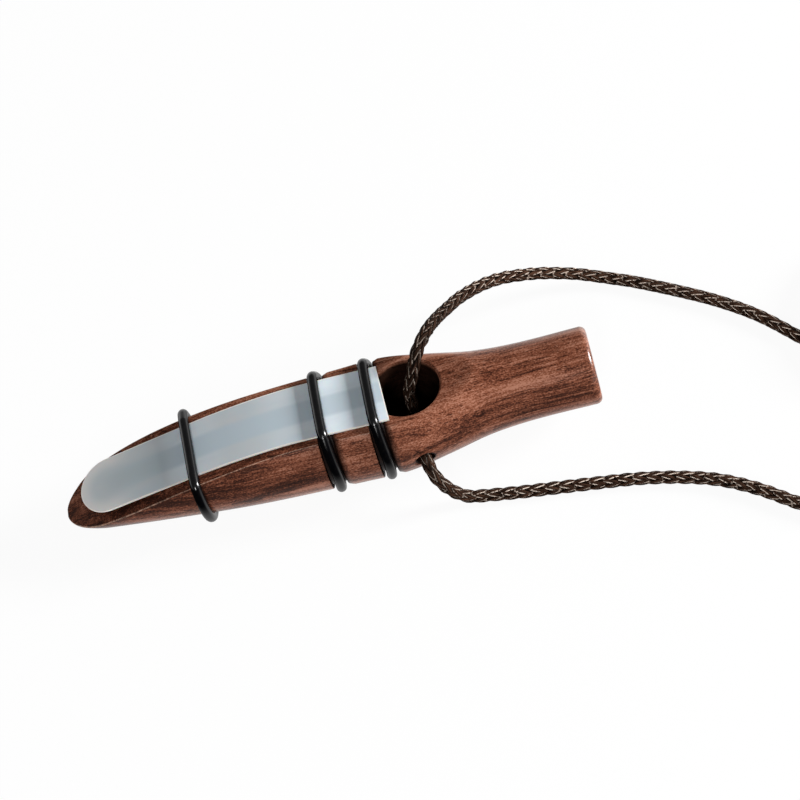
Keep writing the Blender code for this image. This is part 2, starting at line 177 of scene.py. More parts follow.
class Graph:
    """A node tree that is written as Python expressions."""

    def __init__(self, tree):
        self.tree = tree

    def node(self, kind, sockets=None, output=0, stops=None, **settings):
        """Adds a node: its settings and a ramp's stops first, then its sockets' values or links."""
        node = self.tree.nodes.new(kind)
        for name, value in settings.items():
            setattr(node, name, value)
        for position, colour in stops or []:
            node.color_ramp.elements.new(position).color = colour
        if stops:
            node.color_ramp.elements.remove(node.color_ramp.elements[0])
            node.color_ramp.elements.remove(node.color_ramp.elements[-1])
        for key, value in (sockets or {}).items():
            self.feed(node.inputs[key], value)
        return Link(self, node.outputs[output])

    def feed(self, socket, value):
        """Links a socket, or sets it where the value is a plain number or colour."""
        if isinstance(value, Link):
            self.tree.links.new(value.socket, socket)
        else:
            socket.default_value = value

    def math(self, operation, *values):
        return self.node("ShaderNodeMath", dict(enumerate(values)), operation=operation)

    def most(self, first, *others):
        """The largest of several values."""
        for other in others:
            first = self.math("MAXIMUM", first, other)
        return first

    def step(self, value, low, high):
        """0 at low, 1 at high, a smooth change between them and none beyond."""
        sockets = {"Value": value, "From Min": low, "From Max": high}
        return self.node("ShaderNodeMapRange", sockets, interpolation_type="SMOOTHSTEP")

    def vector(self, operation, *values):
        return self.node("ShaderNodeVectorMath", dict(enumerate(values)), operation=operation)

    def scale(self, vector, factor):
        return self.node("ShaderNodeVectorMath", {0: vector, "Scale": factor}, operation="SCALE")

    def length(self, vector):
        return self.node("ShaderNodeVectorMath", {0: vector}, output="Value", operation="LENGTH")

    def split(self, vector):
        """The three numbers of a vector."""
        x = self.node("ShaderNodeSeparateXYZ", {0: vector}, output="X")
        return x, x.out("Y"), x.out("Z")

    def join(self, x, y=0.0, z=0.0):
        """A vector of three numbers."""
        return self.node("ShaderNodeCombineXYZ", {"X": x, "Y": y, "Z": z})

    def mix(self, factor, first, second):
        """A colour between two colours."""
        return self.node("ShaderNodeMix", {0: factor, 6: first, 7: second}, output=2, data_type="RGBA")

    def noise(self, place, detail=2.0, roughness=0.5, output="Fac"):
        sockets = {"Vector": place, "Scale": 1.0, "Detail": detail, "Roughness": roughness}
        return self.node("ShaderNodeTexNoise", sockets, output=output)

    def attribute(self, name):
        return self.node("ShaderNodeAttribute", output="Fac", attribute_name=name)

    def place(self):
        """Where a point of the piece is, in millimetres."""
        return self.scale(self.node("ShaderNodeTexCoord", output="Object"), 1 / MM)


# %% [markdown]
# ## Starting a finish
#
# Every finish here is a Principled shader. What is the same all over a piece is set on the shader's own
# sockets, and only what changes from place to place comes from nodes. Colours are written as the eye reads
# them, which makes them easy to compare, and are turned into the linear values that light is added up in.

# %% A new finish, and colours


def new_finish(name, fixed):
    """A material, its graph and its Principled shader, with the sockets set that are the same all over."""
    material = bpy.data.materials.new(name)
    material.use_nodes = True
    shader = material.node_tree.nodes["Principled BSDF"]
    for socket, value in fixed.items():
        shader.inputs[socket].default_value = value
    return material, Graph(material.node_tree), shader


def from_srgb(red, green, blue):
    """A colour as the eye reads it, 0 to 255, in the linear values that a shader takes."""
    shares = [c / 255 for c in (red, green, blue)]
    linear = [s / 12.92 if s <= 0.04045 else ((s + 0.055) / 1.055) ** 2.4 for s in shares]
    return (*linear, 1.0)


# %% [markdown]
# ## The studio
#
# The call was photographed on white, with no shadow left in the picture. The floor here looks white to
# the camera and still takes a faint contact shadow: its shader is mixed from a matte white, which takes
# shadows, and a glow that only the camera and mirrors see. More light would make a floor white too, but it
# would also bleach the object.

# %% The white floor
bpy.context.scene.view_settings.view_transform = "Standard"
FLOOR_SIZE = 3.0  # metres
FLOOR_WHITE = 0.9
SHADOW_SHARE = 0.06  # how much of the matte white shows through the glow


def add_floor():
    mesh = bpy.data.meshes.new("floor")
    shape = bmesh.new()
    bmesh.ops.create_grid(shape, x_segments=1, y_segments=1, size=FLOOR_SIZE / 2)
    shape.to_mesh(mesh)
    shape.free()
    floor = bpy.data.objects.new("floor", mesh)
    bpy.context.scene.collection.objects.link(floor)
    material = bpy.data.materials.new("white floor")
    material.use_nodes = True
    graph = Graph(material.node_tree)
    matte = graph.node("ShaderNodeBsdfDiffuse", {"Color": (FLOOR_WHITE, FLOOR_WHITE, FLOOR_WHITE, 1)})
    glow = graph.node("ShaderNodeEmission", {"Color": (1, 1, 1, 1)})
    rays = ("Is Camera Ray", "Is Glossy Ray", "Is Transmission Ray")
    seen = graph.most(*[graph.node("ShaderNodeLightPath", output=ray) for ray in rays])
    white = graph.node("ShaderNodeMixShader", {0: seen * (1 - SHADOW_SHARE), 1: matte, 2: glow})
    graph.feed(material.node_tree.nodes["Material Output"].inputs["Surface"], white)
    mesh.materials.append(material)


add_floor()
print(f"a white floor, {FLOOR_SIZE} m square")

# %% [markdown]
# ## Light
#
# The main lamp stands low to the right, beyond the horn end: each ring throws a soft shadow on the reed,
# towards the mouth, and the reed gets greyer where it slopes away from that lamp. A second lamp in front,
# tall and narrow, lights the flank. Round both is a tent of white cloth, which fills the shadows. It is
# dark overhead, so that the reed and the oiled wood don't mirror a white ceiling. A picture of a studio
# could light the world too, but a gradient is enough here and can be tuned by its numbers.

# %% A tent and two lamps
SKY_DARK = 0.10
TENT_EDGE = 0.15  # where the cloth starts to darken, from 0 at the horizon to 1 overhead
TENT_TOP = 0.50  # where it has ended
TENT_FRONT_TOP = 0.25  # and where it has ended in front
TENT_FRONT = (0.1, -0.5)  # from the tent's sides to its front
LAMPS = {  # place, width and height in metres, and watts
    "right softbox": ((0.98, 0.0, 0.41), 0.30, 0.30, 18.5),
    "front softbox": ((-0.10, -0.85, 0.62), 0.12, 0.36, 4.0),
}


def add_world():
    """A tent of white cloth, open at the top and cut low in front, where the camera looks in."""
    world = bpy.data.worlds.new("light tent")
    world.use_nodes = True
    bpy.context.scene.world = world
    graph = Graph(world.node_tree)
    depth, height = graph.split(graph.node("ShaderNodeTexCoord", output="Generated"))[1:]
    top = TENT_TOP - graph.step(depth, *TENT_FRONT) * (TENT_TOP - TENT_FRONT_TOP)
    overhead = graph.step(height, TENT_EDGE, top)
    background = world.node_tree.nodes["Background"]
    background.inputs["Color"].default_value = (1, 1, 1, 1)
    graph.feed(background.inputs["Strength"], 1 - overhead * (1 - SKY_DARK))


def add_lamp(name, place, width, height, watts):
    lamp = bpy.data.objects.new(name, bpy.data.lights.new(name, "AREA"))
    lamp.data.shape = "RECTANGLE"
    lamp.data.size = width
    lamp.data.size_y = height
    lamp.data.energy = watts
    lamp.location = place
    lamp.rotation_mode = "QUATERNION"
    lamp.rotation_quaternion = Vector(place).to_track_quat("Z", "Y")
    bpy.context.scene.collection.objects.link(lamp)


add_world()
for lamp_name, lamp_sizes in LAMPS.items():
    add_lamp(lamp_name, *lamp_sizes)
print("lamps:", ", ".join(LAMPS))

# %% [markdown]
# ## Where the neck cord runs
#
# One cord passes through the call. Its two ends leave the picture on the right and meet in a knot. Each
# side is a list of points on a smooth curve, because a limp cord has no corners. A Bezier curve with
# handles would do as well, but a cord's length is easy to add up from points.

# %% Routes on both sides of the call
CORD_DIAMETER = 2.1 * MM
CORD_REST = 1.07 * MM  # height of the cord's middle on the floor
UPPER_ROUTE = [
    (14.30, -1.07, 10.18),
    (14.30, 0.74, 11.25),
    (14.45, 1.55, 12.80),
    (15.40, 2.10, 15.30),
    (16.40, 2.95, 17.50),
    (17.45, 4.30, 18.75),
    (18.70, 6.20, 19.00),
    (20.00, 8.90, 17.95),
    (21.70, 12.40, 15.75),
    (23.50, 15.20, 14.00),
    (25.30, 17.70, 12.50),
    (28.70, 21.10, 10.05),
    (32.10, 23.30, 8.00),
    (35.35, 24.50, 6.20),
    (38.55, 25.10, 4.70),
    (41.75, 25.20, 3.35),
    (44.90, 24.85, 2.25),
    (47.95, 23.95, 1.45),
    (51.00, 22.60, 1.07),
    (54.00, 20.90, 1.07),
    (59.85, 17.10, 1.07),
    (65.55, 13.00, 1.07),
    (71.00, 8.10, 1.07),
    (75.90, 2.20, 1.07),
    (80.00, -3.10, 1.07),
]
LOWER_ROUTE = [
    (14.30, -1.33, 10.02),
    (14.30, -3.14, 8.95),
    (14.50, -4.60, 8.76),
    (14.50, -6.70, 8.27),
    (14.60, -8.90, 7.76),
    (14.95, -10.60, 6.95),
    (15.65, -11.60, 5.60),
    (16.75, -12.20, 3.80),
    (18.00, -12.50, 2.30),
    (19.45, -12.80, 1.35),
    (21.30, -13.10, 1.07),
    (27.10, -14.20, 1.07),
    (33.40, -15.20, 1.07),
    (39.60, -16.20, 1.07),
    (45.80, -17.30, 1.07),
    (51.80, -18.90, 1.07),
    (57.60, -21.20, 1.07),
    (63.10, -24.70, 1.07),
    (68.10, -28.90, 1.07),
    (73.00, -32.60, 1.07),
    (79.00, -34.80, 1.07),
    (85.50, -34.20, 1.07),
    (92.00, -30.60, 1.07),
    (97.50, -25.20, 1.07),
    (102.00, -20.40, 1.30),
    (105.80, -17.70, 2.40),
    (108.40, -17.20, 3.00),
    (110.50, -17.20, 3.00),
]
print(f"{len(UPPER_ROUTE)} points from the sound hole, {len(LOWER_ROUTE)} from the flank")

# %% A smooth curve through points


def smooth_route(points, pieces=8):
    """A smooth curve through the points, with this many pieces between two of them."""
    controls = [2 * points[0] - points[1], *points, 2 * points[-1] - points[-2]]
    fine = []
    for a, b, c, d in zip(controls, controls[1:], controls[2:], controls[3:]):
        for k in range(pieces):
            t = k / pieces
            bend = (2 * a - 5 * b + 4 * c - d) * t**2 + (3 * b - a - 3 * c + d) * t**3
            fine.append(b + ((c - a) * t + bend) / 2)
    fine.append(points[-1])
    for point in fine:
        point.z = max(point.z, CORD_REST)
    return fine


def path_length(points):
    return sum((q - p).length for p, q in zip(points, points[1:]))


short_path = smooth_route([Vector(p) * MM for p in LOWER_ROUTE])
print(f"cord from the flank to the knot: {path_length(short_path):.3f} m")

# %% [markdown]
# ## The coil
#
# The length that the picture doesn't show is wound into a coil beside the call, as for storage: inwards on
# the floor and outwards again on top, so that both ends are outside. Turns drawn by hand would never lie
# evenly, so they come from a formula. They rise a little where the tie's wire passes under them.

# %% Wind the coil
COIL_CENTRE = Vector((97.3, 2.4, 0)) * MM
COIL_OUTER_RADIUS = 17 * MM
COIL_PITCH = 2.55 * MM
COIL_LAYER = 2.65 * MM
COIL_START = math.radians(218)
COIL_END = math.radians(270 + 8 * 360)
COIL_POINTS_PER_TURN = 36
TIE_ANGLE = math.radians(45)
TIE_LIFT = 0.95 * MM
TIE_LIFT_WIDTH = math.radians(40)


def coil_point(angle):
    """A point of the coil's middle line. The spiral reverses half way, and climbs a layer there."""
    halfway = (COIL_START + COIL_END) / 2
    turns_in = (COIL_END - angle if angle > halfway else angle - COIL_START) / math.tau
    radius = COIL_OUTER_RADIUS - COIL_PITCH * turns_in
    climb = min(max((angle - halfway) / math.pi + 0.5, 0), 1)
    away = math.remainder(angle - TIE_ANGLE, math.tau) / TIE_LIFT_WIDTH
    z = CORD_REST + COIL_LAYER * climb + TIE_LIFT * math.exp(-(away**2))
    return COIL_CENTRE + Vector((radius * math.cos(angle), radius * math.sin(angle), z))


coil_steps = round((COIL_END - COIL_START) / math.tau * COIL_POINTS_PER_TURN)
coil = [coil_point(COIL_START + (COIL_END - COIL_START) * k / coil_steps) for k in range(coil_steps + 1)]
print(f"cord in the coil: {path_length(coil):.3f} m")

# %% Lead the cord into the coil and on to the knot
KNOT_ENTRY_HEIGHT = 3.0 * MM
TAIL_SHARES = (0.35, 0.7, 1.0)

knot_low, knot_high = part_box("lanyard_knot")
knot_entry = Vector((knot_low.x, coil[-1].y, KNOT_ENTRY_HEIGHT))
tail = [coil[-1].lerp(knot_entry, share) for share in TAIL_SHARES]
to_coil = smooth_route([Vector(p) * MM for p in UPPER_ROUTE] + [coil[0]])
long_path = to_coil[:-1] + coil + smooth_route([coil[-1]] + tail)[1:]
print(f"cord from the sound hole to the knot: {path_length(long_path):.3f} m")

# %% [markdown]
# ## The braid
#
# The cord is a braid of sixteen strands: half wind to the left and half to the right, and each passes over
# two of the others and under the next two. That makes eight straight rows along the cord, and the strands
# that wind one way lie on top in every second row, as in a row of knitting. Sixteen helices placed by
# hand would need thousands of points, so Geometry Nodes copies the cord's middle line and moves each copy
# sideways by a formula.

# %% Parts that every geometry tree needs


def store(graph, geometry, name, value, kind="FLOAT"):
    """Keeps a value on every point of a curve, where the finish can read it later."""
    sockets = {"Geometry": geometry, "Name": name, "Value": value}
    return graph.node("GeometryNodeStoreNamedAttribute", sockets, data_type=kind, domain="POINT")


def new_tree(name, path_name, sizes):
    """An empty geometry tree with a path, these sizes and a finish as its inputs."""
    tree = bpy.data.node_groups.new(name, "GeometryNodeTree")
    tree.interface.new_socket(path_name, in_out="INPUT", socket_type="NodeSocketGeometry")
    for size in sizes:
        tree.interface.new_socket(size, in_out="INPUT", socket_type="NodeSocketFloat")
    tree.interface.new_socket("Finish", in_out="INPUT", socket_type="NodeSocketMaterial")
    tree.interface.new_socket("Piece", in_out="OUTPUT", socket_type="NodeSocketGeometry")
    graph = Graph(tree)
    return graph, graph.node("NodeGroupInput")


def end_tree(graph, given, geometry):
    """Every tree ends the same way: smooth, real faces with the finish on them."""
    smooth = graph.node("GeometryNodeSetShadeSmooth", {"Geometry": geometry})
    real = graph.node("GeometryNodeRealizeInstances", {"Geometry": smooth})
    sockets = {"Geometry": real, "Material": given.out("Finish")}
    finished = graph.node("GeometryNodeSetMaterial", sockets)
    end = graph.tree.nodes.new("NodeGroupOutput")
    graph.feed(end.inputs["Piece"], finished)
    return graph.tree


def tube(graph, path, section):
    sockets = {"Curve": path, "Profile Curve": section, "Fill Caps": True}
    return graph.node("GeometryNodeCurveToMesh", sockets)


def circle(graph, sides, radius):
    return graph.node("GeometryNodeCurvePrimitiveCircle", {"Resolution": sides, "Radius": radius})


# %% A tree that braids strands along a curve
BRAID_SIZES = {  # metres, apart from the two row values
    "Pitch": 18.4 * MM,
    "Middle Radius": 0.76 * MM,
    "Lift": 0.10 * MM,
    "Strand Width": 0.74 * MM,
    "Strand Thickness": 0.42 * MM,
    "Step": 0.6 * MM,
    "Core Radius": 0.66 * MM,
    "Row Angle": 0.6,
    "Row Twist": 25.0,
}
STRANDS = 16
STRAND_SIDES = 4
CORE_SIDES = 8


def strand_section(graph, given):
    """A strand's flat cross-section, which keeps how far each point is from the strand's middle."""
    side = graph.split(graph.node("GeometryNodeInputPosition"))[0]
    section = store(graph, circle(graph, STRAND_SIDES, 0.5), "side", side)
    flat = graph.join(given.out("Strand Width"), given.out("Strand Thickness"), 1.0)
    sockets = {"Geometry": section, "Rotation": (0, 0, math.pi / 2), "Scale": flat}
    return graph.node("GeometryNodeTransform", sockets)


def braid_tree():
    graph, given = new_tree("row braid", "Path", BRAID_SIZES)
    sockets = {"Curve": given, "Length": given.out("Step")}
    path = graph.node("GeometryNodeResampleCurve", sockets, mode="LENGTH")
    sockets = {"Geometry": path, "Amount": STRANDS}
    copies = graph.node("GeometryNodeDuplicateElements", sockets, domain="SPLINE")

    number = copies.out("Duplicate Index")
    handed = 1 - 2 * graph.math("MODULO", number, 2.0)
    start = graph.math("FLOOR", number / 2) * (math.tau / (STRANDS / 2))
    along = graph.node("GeometryNodeSplineParameter", output="Length")
    angle = handed * along * math.tau / given.out("Pitch") + start
    row = STRANDS / 4 * angle + given.out("Row Angle") + given.out("Row Twist") * along
    rise = handed * graph.math("COSINE", row)
    radius = given.out("Middle Radius") + given.out("Lift") * rise

    normal = graph.node("GeometryNodeInputNormal")
    across = graph.vector("CROSS_PRODUCT", graph.node("GeometryNodeInputTangent"), normal)
    first = graph.scale(normal, graph.math("COSINE", angle))
    second = graph.scale(across, graph.math("SINE", angle))
    strands = store(graph, copies, "outward", graph.vector("ADD", first, second), "FLOAT_VECTOR")
    for name, value in (("along", along / MM), ("strand", number), ("rise", rise)):
        strands = store(graph, strands, name, value)
    sockets = {"Name": "outward"}
    outward = graph.node("GeometryNodeInputNamedAttribute", sockets, data_type="FLOAT_VECTOR")
    sockets = {"Geometry": strands, "Offset": graph.scale(outward, radius)}
    moved = graph.node("GeometryNodeSetPosition", sockets)
    turned = graph.node("GeometryNodeSetCurveNormal", {"Curve": moved, "Normal": outward}, mode="FREE")

    joined = graph.node("GeometryNodeJoinGeometry")
    core = tube(graph, path, circle(graph, CORE_SIDES, given.out("Core Radius")))
    for piece in (core, tube(graph, turned, strand_section(graph, given))):
        graph.feed(joined.socket.node.inputs["Geometry"], piece)
    return end_tree(graph, given, joined)


row_braid = braid_tree()
print(f"{row_braid.name}: {len(row_braid.nodes)} nodes")

# %% [markdown]
# ## From a tree to a mesh
#
# A tree runs as a modifier on a curve. Its result is taken over as a plain mesh, because a mesh is what
# other programs can read, and the curve and its modifier are then removed.

# %% Grow a piece along a line


def line_curve(name, lines, closed=False):
    """A curve object with one straight-pieced spline for each list of points."""
    curve = bpy.data.curves.new(name, "CURVE")
    curve.dimensions = "3D"
    for points in lines:
        spline = curve.splines.new("POLY")
        spline.points.add(len(points) - 1)
        spline.use_cyclic_u = closed
        for spline_point, point in zip(spline.points, points):
            spline_point.co = (*point, 1)
    obj = bpy.data.objects.new(name, curve)
    bpy.context.scene.collection.objects.link(obj)
    return obj


def plain_mesh(obj, name):
    """What an object looks like with its modifiers, as a new mesh object. The first object goes."""
    mesh = bpy.data.meshes.new_from_object(obj.evaluated_get(bpy.context.evaluated_depsgraph_get()))
    bpy.data.objects.remove(obj)
    piece = bpy.data.objects.new(name, mesh)
    bpy.context.scene.collection.objects.link(piece)
    return piece


def grow(name, guide, tree, sizes, finish):
    """Runs a geometry tree on a guide curve and keeps the result as a plain mesh."""
    modifier = guide.modifiers.new("grow", "NODES")
    modifier.node_group = tree
    for socket in tree.interface.items_tree:
        if socket.in_out == "INPUT" and socket.name in sizes:
            modifier[socket.identifier] = sizes[socket.name]
        if socket.in_out == "INPUT" and socket.name == "Finish":
            modifier[socket.identifier] = finish
    piece = plain_mesh(guide, name)
    piece.data.calc_loop_triangles()
    print(f"{name}: {len(piece.data.loop_triangles)} triangles")
    return piece


# %% [markdown]
# ## The cord's finish
#
# The cord is dark brown polyester. Each strand is a flat bundle of fine threads. Its back is dark, and the
# threads at one edge turn towards the light and shine as thin pale lines: painted highlights, which break
# off where the threads lie unevenly. Between strands and along a strand's other edge the creases are painted
# dark: painted shade. The tree above kept some numbers on every strand: how far along it a point is, how far
# from its middle, and whether the strand is on top there. The finish draws threads, painted shade and
# painted glints from those. A flat pattern wrapped round the cord would not follow the strands. Near the
# call and high above the floor the cord is painted darker and its painted glints are fainter: painted shade.

# %% Brown braid
STRAND_DARK = from_srgb(13, 9, 7)
STRAND_CREASE_SHADE = from_srgb(5, 3, 2)
STRAND_MIDDLE = from_srgb(82, 57, 44)
STRAND_GLINT = from_srgb(238, 220, 204)
THREADS_PER_STRAND = 7.0
# Where a change begins and where it is complete, in millimetres above the floor or along the call
# painted shade on the cord: high above the floor and close to the call
CORD_SHADE_HEIGHT = (7, 18)
CORD_SHADE_LENGTH = (23, 17)
BRIGHT_LENGTH = (30, 70)
CORD_SHADE_STRENGTH = 0.55
CORD_SHADE_AT_FLANK = 0.55


def strand_glints(graph, x, along, side, strand, rise):
    """Painted highlights: broken pale lines at one edge of a strand, and fainter ones where it comes up
    between others.
    """
    highlight_share = graph.noise(graph.join(along * 0.7, strand * 5), detail=1.0)
    breaks = graph.noise(graph.join(along * 2.0, strand * 3, side * 2), detail=1.0)
    # the painted glints grow brighter away from the call
    breaks = breaks + graph.step(x, *BRIGHT_LENGTH) * 0.06
    edge = graph.step(side, 0.27, 0.40) * graph.step(rise, -0.5, 0.0)
    coming_up = graph.step(graph.math("ABSOLUTE", rise - 0.1), 0.24, 0.08)
    bright = edge * graph.step(highlight_share + breaks, 0.81, 0.95)
    return graph.most(bright, coming_up * graph.step(highlight_share, 0.50, 0.60) * 0.35)


def braid_finish():
    material, graph, shader = new_finish("brown_braid", {"Specular IOR Level": 0.01})
    along, side, strand, rise = [graph.attribute(n) for n in ("along", "side", "strand", "rise")]
    threads = graph.noise(graph.join(side * THREADS_PER_STRAND, along * 0.5, strand * 7), detail=1.5)
    x, _, z = graph.split(graph.place())
    # painted shade: darker high above the floor and close to the call, with fainter painted glints there
    painted_cord_shade = graph.most(graph.step(z, *CORD_SHADE_HEIGHT), graph.step(x, *CORD_SHADE_LENGTH) * CORD_SHADE_AT_FLANK)
    glint = strand_glints(graph, x, along, side, strand, rise) * (1 - CORD_SHADE_STRENGTH * painted_cord_shade)
    # painted shade: dark in the creases under other strands and along one edge of each strand
    crease_shade = graph.most(graph.step(rise, 0.0, -0.6), graph.step(side, -0.2, -0.42))
    colour = graph.mix(graph.step(threads, 0.36, 0.68), STRAND_DARK, STRAND_MIDDLE)
    colour = graph.mix(crease_shade * 0.85, colour, STRAND_CREASE_SHADE)
    colour = graph.mix(glint, colour, STRAND_GLINT)
    colour = graph.mix(CORD_SHADE_STRENGTH * painted_cord_shade, colour, STRAND_DARK)
    graph.feed(shader.inputs["Base Color"], colour)
    bump = graph.node("ShaderNodeBump", {"Strength": 0.5, "Distance": 0.06 * MM, "Height": threads})
    graph.feed(shader.inputs["Normal"], bump)
    graph.feed(shader.inputs["Roughness"], 0.55 - glint * 0.2)
    return material


brown_braid = braid_finish()
long_line = line_curve("long", [long_path])
long_cord = grow("braided_cord_long", long_line, row_braid, BRAID_SIZES, brown_braid)
short_line = line_curve("short", [short_path])
short_cord = grow("braided_cord_short", short_line, row_braid, BRAID_SIZES, brown_braid)

# %% [markdown]
# ## The knot
#
# The two ends of the cord are tied together in a barrel knot: one end is wound round both and pulled
# tight. A plain lump would do from afar. Three turns of the same braid round two straight pieces give the
# knot's real form, so the braiding tree is used again on shorter lines.

# %% Wind the knot
KNOT_TURNS = 3.1
KNOT_POINTS_PER_TURN = 24
KNOT_START = -2.2  # radians round the knot
KNOT_HALF_WIDTH = 3.0 * MM
KNOT_HALF_HEIGHT = 2.05 * MM
KNOT_END_SHARE = 0.62  # of its width, at both ends of the winding
KNOT_GAP = 0.03 * MM  # between the winding and the floor
KNOT_STRAND_APART = 2.1 * MM
KNOT_TAILS = (6.5 * MM, 4.5 * MM)
TAIL_SPREAD = 0.35
TAIL_FAN = 0.3 * MM
TAIL_ARCH = 0.5 * MM
TAIL_BEND_SHARE = 0.55  # of the way along a tail


def knot_winding(centre):
    """The middle line of the end that is wound round both."""
    length = knot_high.x - knot_low.x - CORD_DIAMETER
    steps = round(KNOT_TURNS * KNOT_POINTS_PER_TURN)
    winding = []
    for k in range(steps + 1):
        share = k / steps
        turn = math.tau * KNOT_TURNS * share + KNOT_START
        swell = math.sin(math.pi * min(1, 4 * min(share, 1 - share)) / 2)
        tuck = KNOT_END_SHARE + (1 - KNOT_END_SHARE) * swell
        across = Vector((0, KNOT_HALF_WIDTH * math.cos(turn), KNOT_HALF_HEIGHT * math.sin(turn))) * tuck
        winding.append(centre + Vector((length * (share - 0.5), 0, 0)) + across)
    return winding


def knot_lines():
    """The middle lines of the winding and of the two pieces that pass through it."""
    centre = middle("lanyard_knot")
    centre.z = KNOT_HALF_HEIGHT + CORD_DIAMETER / 2 + KNOT_GAP
    lines = [knot_winding(centre)]
    for side, tail, start in ((1, KNOT_TAILS[0], long_path[-1]), (-1, KNOT_TAILS[1], short_path[-1])):
        inside = centre + Vector((0, side * KNOT_STRAND_APART / 2, 0))
        out = Vector((knot_high.x, inside.y + side * TAIL_FAN, centre.z - TAIL_FAN))
        end = out + Vector((tail, side * tail * TAIL_SPREAD, 0))
        end.z = CORD_REST
        bend = out.lerp(end, TAIL_BEND_SHARE)
        bend.z = CORD_REST + TAIL_ARCH
        lines.append(smooth_route([start, inside, out, bend, end]))
    return lines


knot = grow("barrel_knot", line_curve("knot", knot_lines()), row_braid, BRAID_SIZES, brown_braid)

# %% [markdown]
# ## The tie
#
# The coil is held by a twist of black coated wire. It is a plain round tube along a line, and a curve with
# a bevel would give that too. A small tree does it here, because the rubber rings need the same tube later.
# The line comes down one strand of the twist, goes round all the turns of the coil and up the other strand.

# %% A round tube along a line
TUBE_SIZES = {"Thickness": 0.6 * MM}
TUBE_SIDES = 20


def tube_tree():
    graph, given = new_tree("round tube", "Path", TUBE_SIZES)
    section = circle(graph, TUBE_SIDES, given.out("Thickness") / 2)
    return end_tree(graph, given, tube(graph, given, section))


def arc(centre, radius, start, end, count):
    """Points (first, second coordinate) on an arc, both ends included."""
    steps = [start + (end - start) * k / (count - 1) for k in range(count)]
    return [(centre[0] + radius * math.cos(s), centre[1] + radius * math.sin(s)) for s in steps]


round_tube = tube_tree()
print(f"{round_tube.name}: {len(round_tube.nodes)} nodes")

# %% Bend and twist the wire
TIE_CORNER = 1.6 * MM
TIE_GAP = 0.2 * MM
TIE_FLOOR_GAP = 0.02 * MM
TWIST_LENGTH = 6 * MM
TWIST_PITCH = 2.3 * MM
TWIST_RADIUS = 0.31 * MM
TWIST_STEPS = 36
TWIST_SINK = 0.4 * MM  # how far the twist starts inside the corner of the loop
WIRE_BLACK = (0.02, 0.02, 0.021, 1)


def twisted_ends(root, way):
    """The two free ends of the wire, which wind round each other and lean outwards."""
    side = Vector((-way.y, way.x, 0))
    rise = (way + Vector((0, 0, 1))).normalized()
    across = (way - Vector((0, 0, 1))).normalized()
    ends = []
    for phase in (math.pi, 0):
        helix = []
        for k in range(TWIST_STEPS + 1):
            up_twist = TWIST_LENGTH * k / TWIST_STEPS
            turn = math.tau * up_twist / TWIST_PITCH + phase
            round_axis = (across * math.cos(turn) + side * math.sin(turn)) * TWIST_RADIUS
            helix.append(root + rise * up_twist + round_axis)
        ends.append(helix)
    return ends


def tie_line():
    """From one free end, down the twist, round all the turns of the coil, and up the twist again."""
    half_wire = TUBE_SIZES["Thickness"] / 2
    turns = (COIL_END - COIL_START) / 2 / math.tau
    inner = COIL_OUTER_RADIUS - COIL_PITCH * turns - half_wire - TIE_GAP
    outer = COIL_OUTER_RADIUS + half_wire + TIE_GAP
    low = half_wire + TIE_FLOOR_GAP
    high = CORD_REST + COIL_LAYER + TIE_LIFT + CORD_DIAMETER / 2 + TIE_GAP + half_wire
    loop = arc((inner + TIE_CORNER, high - TIE_CORNER), TIE_CORNER, math.pi / 2, math.pi, 7)
    loop += arc((inner + TIE_CORNER, low + TIE_CORNER), TIE_CORNER, math.pi, math.pi * 1.5, 7)
    loop += arc((outer - TIE_CORNER, low + TIE_CORNER), TIE_CORNER, -math.pi / 2, 0, 7)
    way = Vector((math.cos(TIE_ANGLE), math.sin(TIE_ANGLE), 0))
    body = [COIL_CENTRE + way * r + Vector((0, 0, z)) for r, z in loop]
    root = COIL_CENTRE + way * (outer - TWIST_SINK) + Vector((0, 0, high - TWIST_SINK))
    first, last = twisted_ends(root, way)
    return list(reversed(first)) + body + last


def wire_finish():
    material, graph, shader = new_finish("tie_wire", {"Base Color": WIRE_BLACK})
    scuffs = graph.noise(graph.scale(graph.place(), 4.0), detail=3.0)
    graph.feed(shader.inputs["Roughness"], 0.3 + scuffs * 0.3)
    return material


tie = grow("wire_tie", line_curve("tie", [tie_line()]), round_tube, TUBE_SIZES, wire_finish())

# %% [markdown]
# ## Walnut
#
# Walnut is reddish brown, with fine dark streaks along the grain that gather in bands, and open pores that
# show as short dashes, crowded in some places and few on top. A picture of wood would have to be wrapped
# round the turning. Wood is a solid, so the finish is a solid too: year rings are cylinders round a line
# that lies beside the call, bent a little by a slow noise, and whatever shape cuts through them shows the
# right figure. The tone drifts too: darker towards the mouth. The lighter tone on top, on the far side and
# below is painted light.

# %% Painted shade inside the holes
AXIS_Z = 9.82 * MM  # the call's axis: its rings lie on the floor
SOUND_HOLE_X = 14.1 * MM
SOUND_HOLE_RADIUS = 5.5 * MM
BORE_RADIUS = 4.6 * MM
CORD_HOLE_X = 14.5 * MM
CORD_HOLE_RADIUS = 1.5 * MM
CORD_HOLE_ANGLE = math.radians(103)  # from straight up, towards -Y
CORD_HOLE_WAY = Vector((0, -math.sin(CORD_HOLE_ANGLE), math.cos(CORD_HOLE_ANGLE)))
# Where the painted shade begins and where it is complete, in millimetres above the axis or along it
HOLE_DARK_HEIGHT = (5.9, 4.7)
BORE_DARK_LENGTH = (42.5, 38)


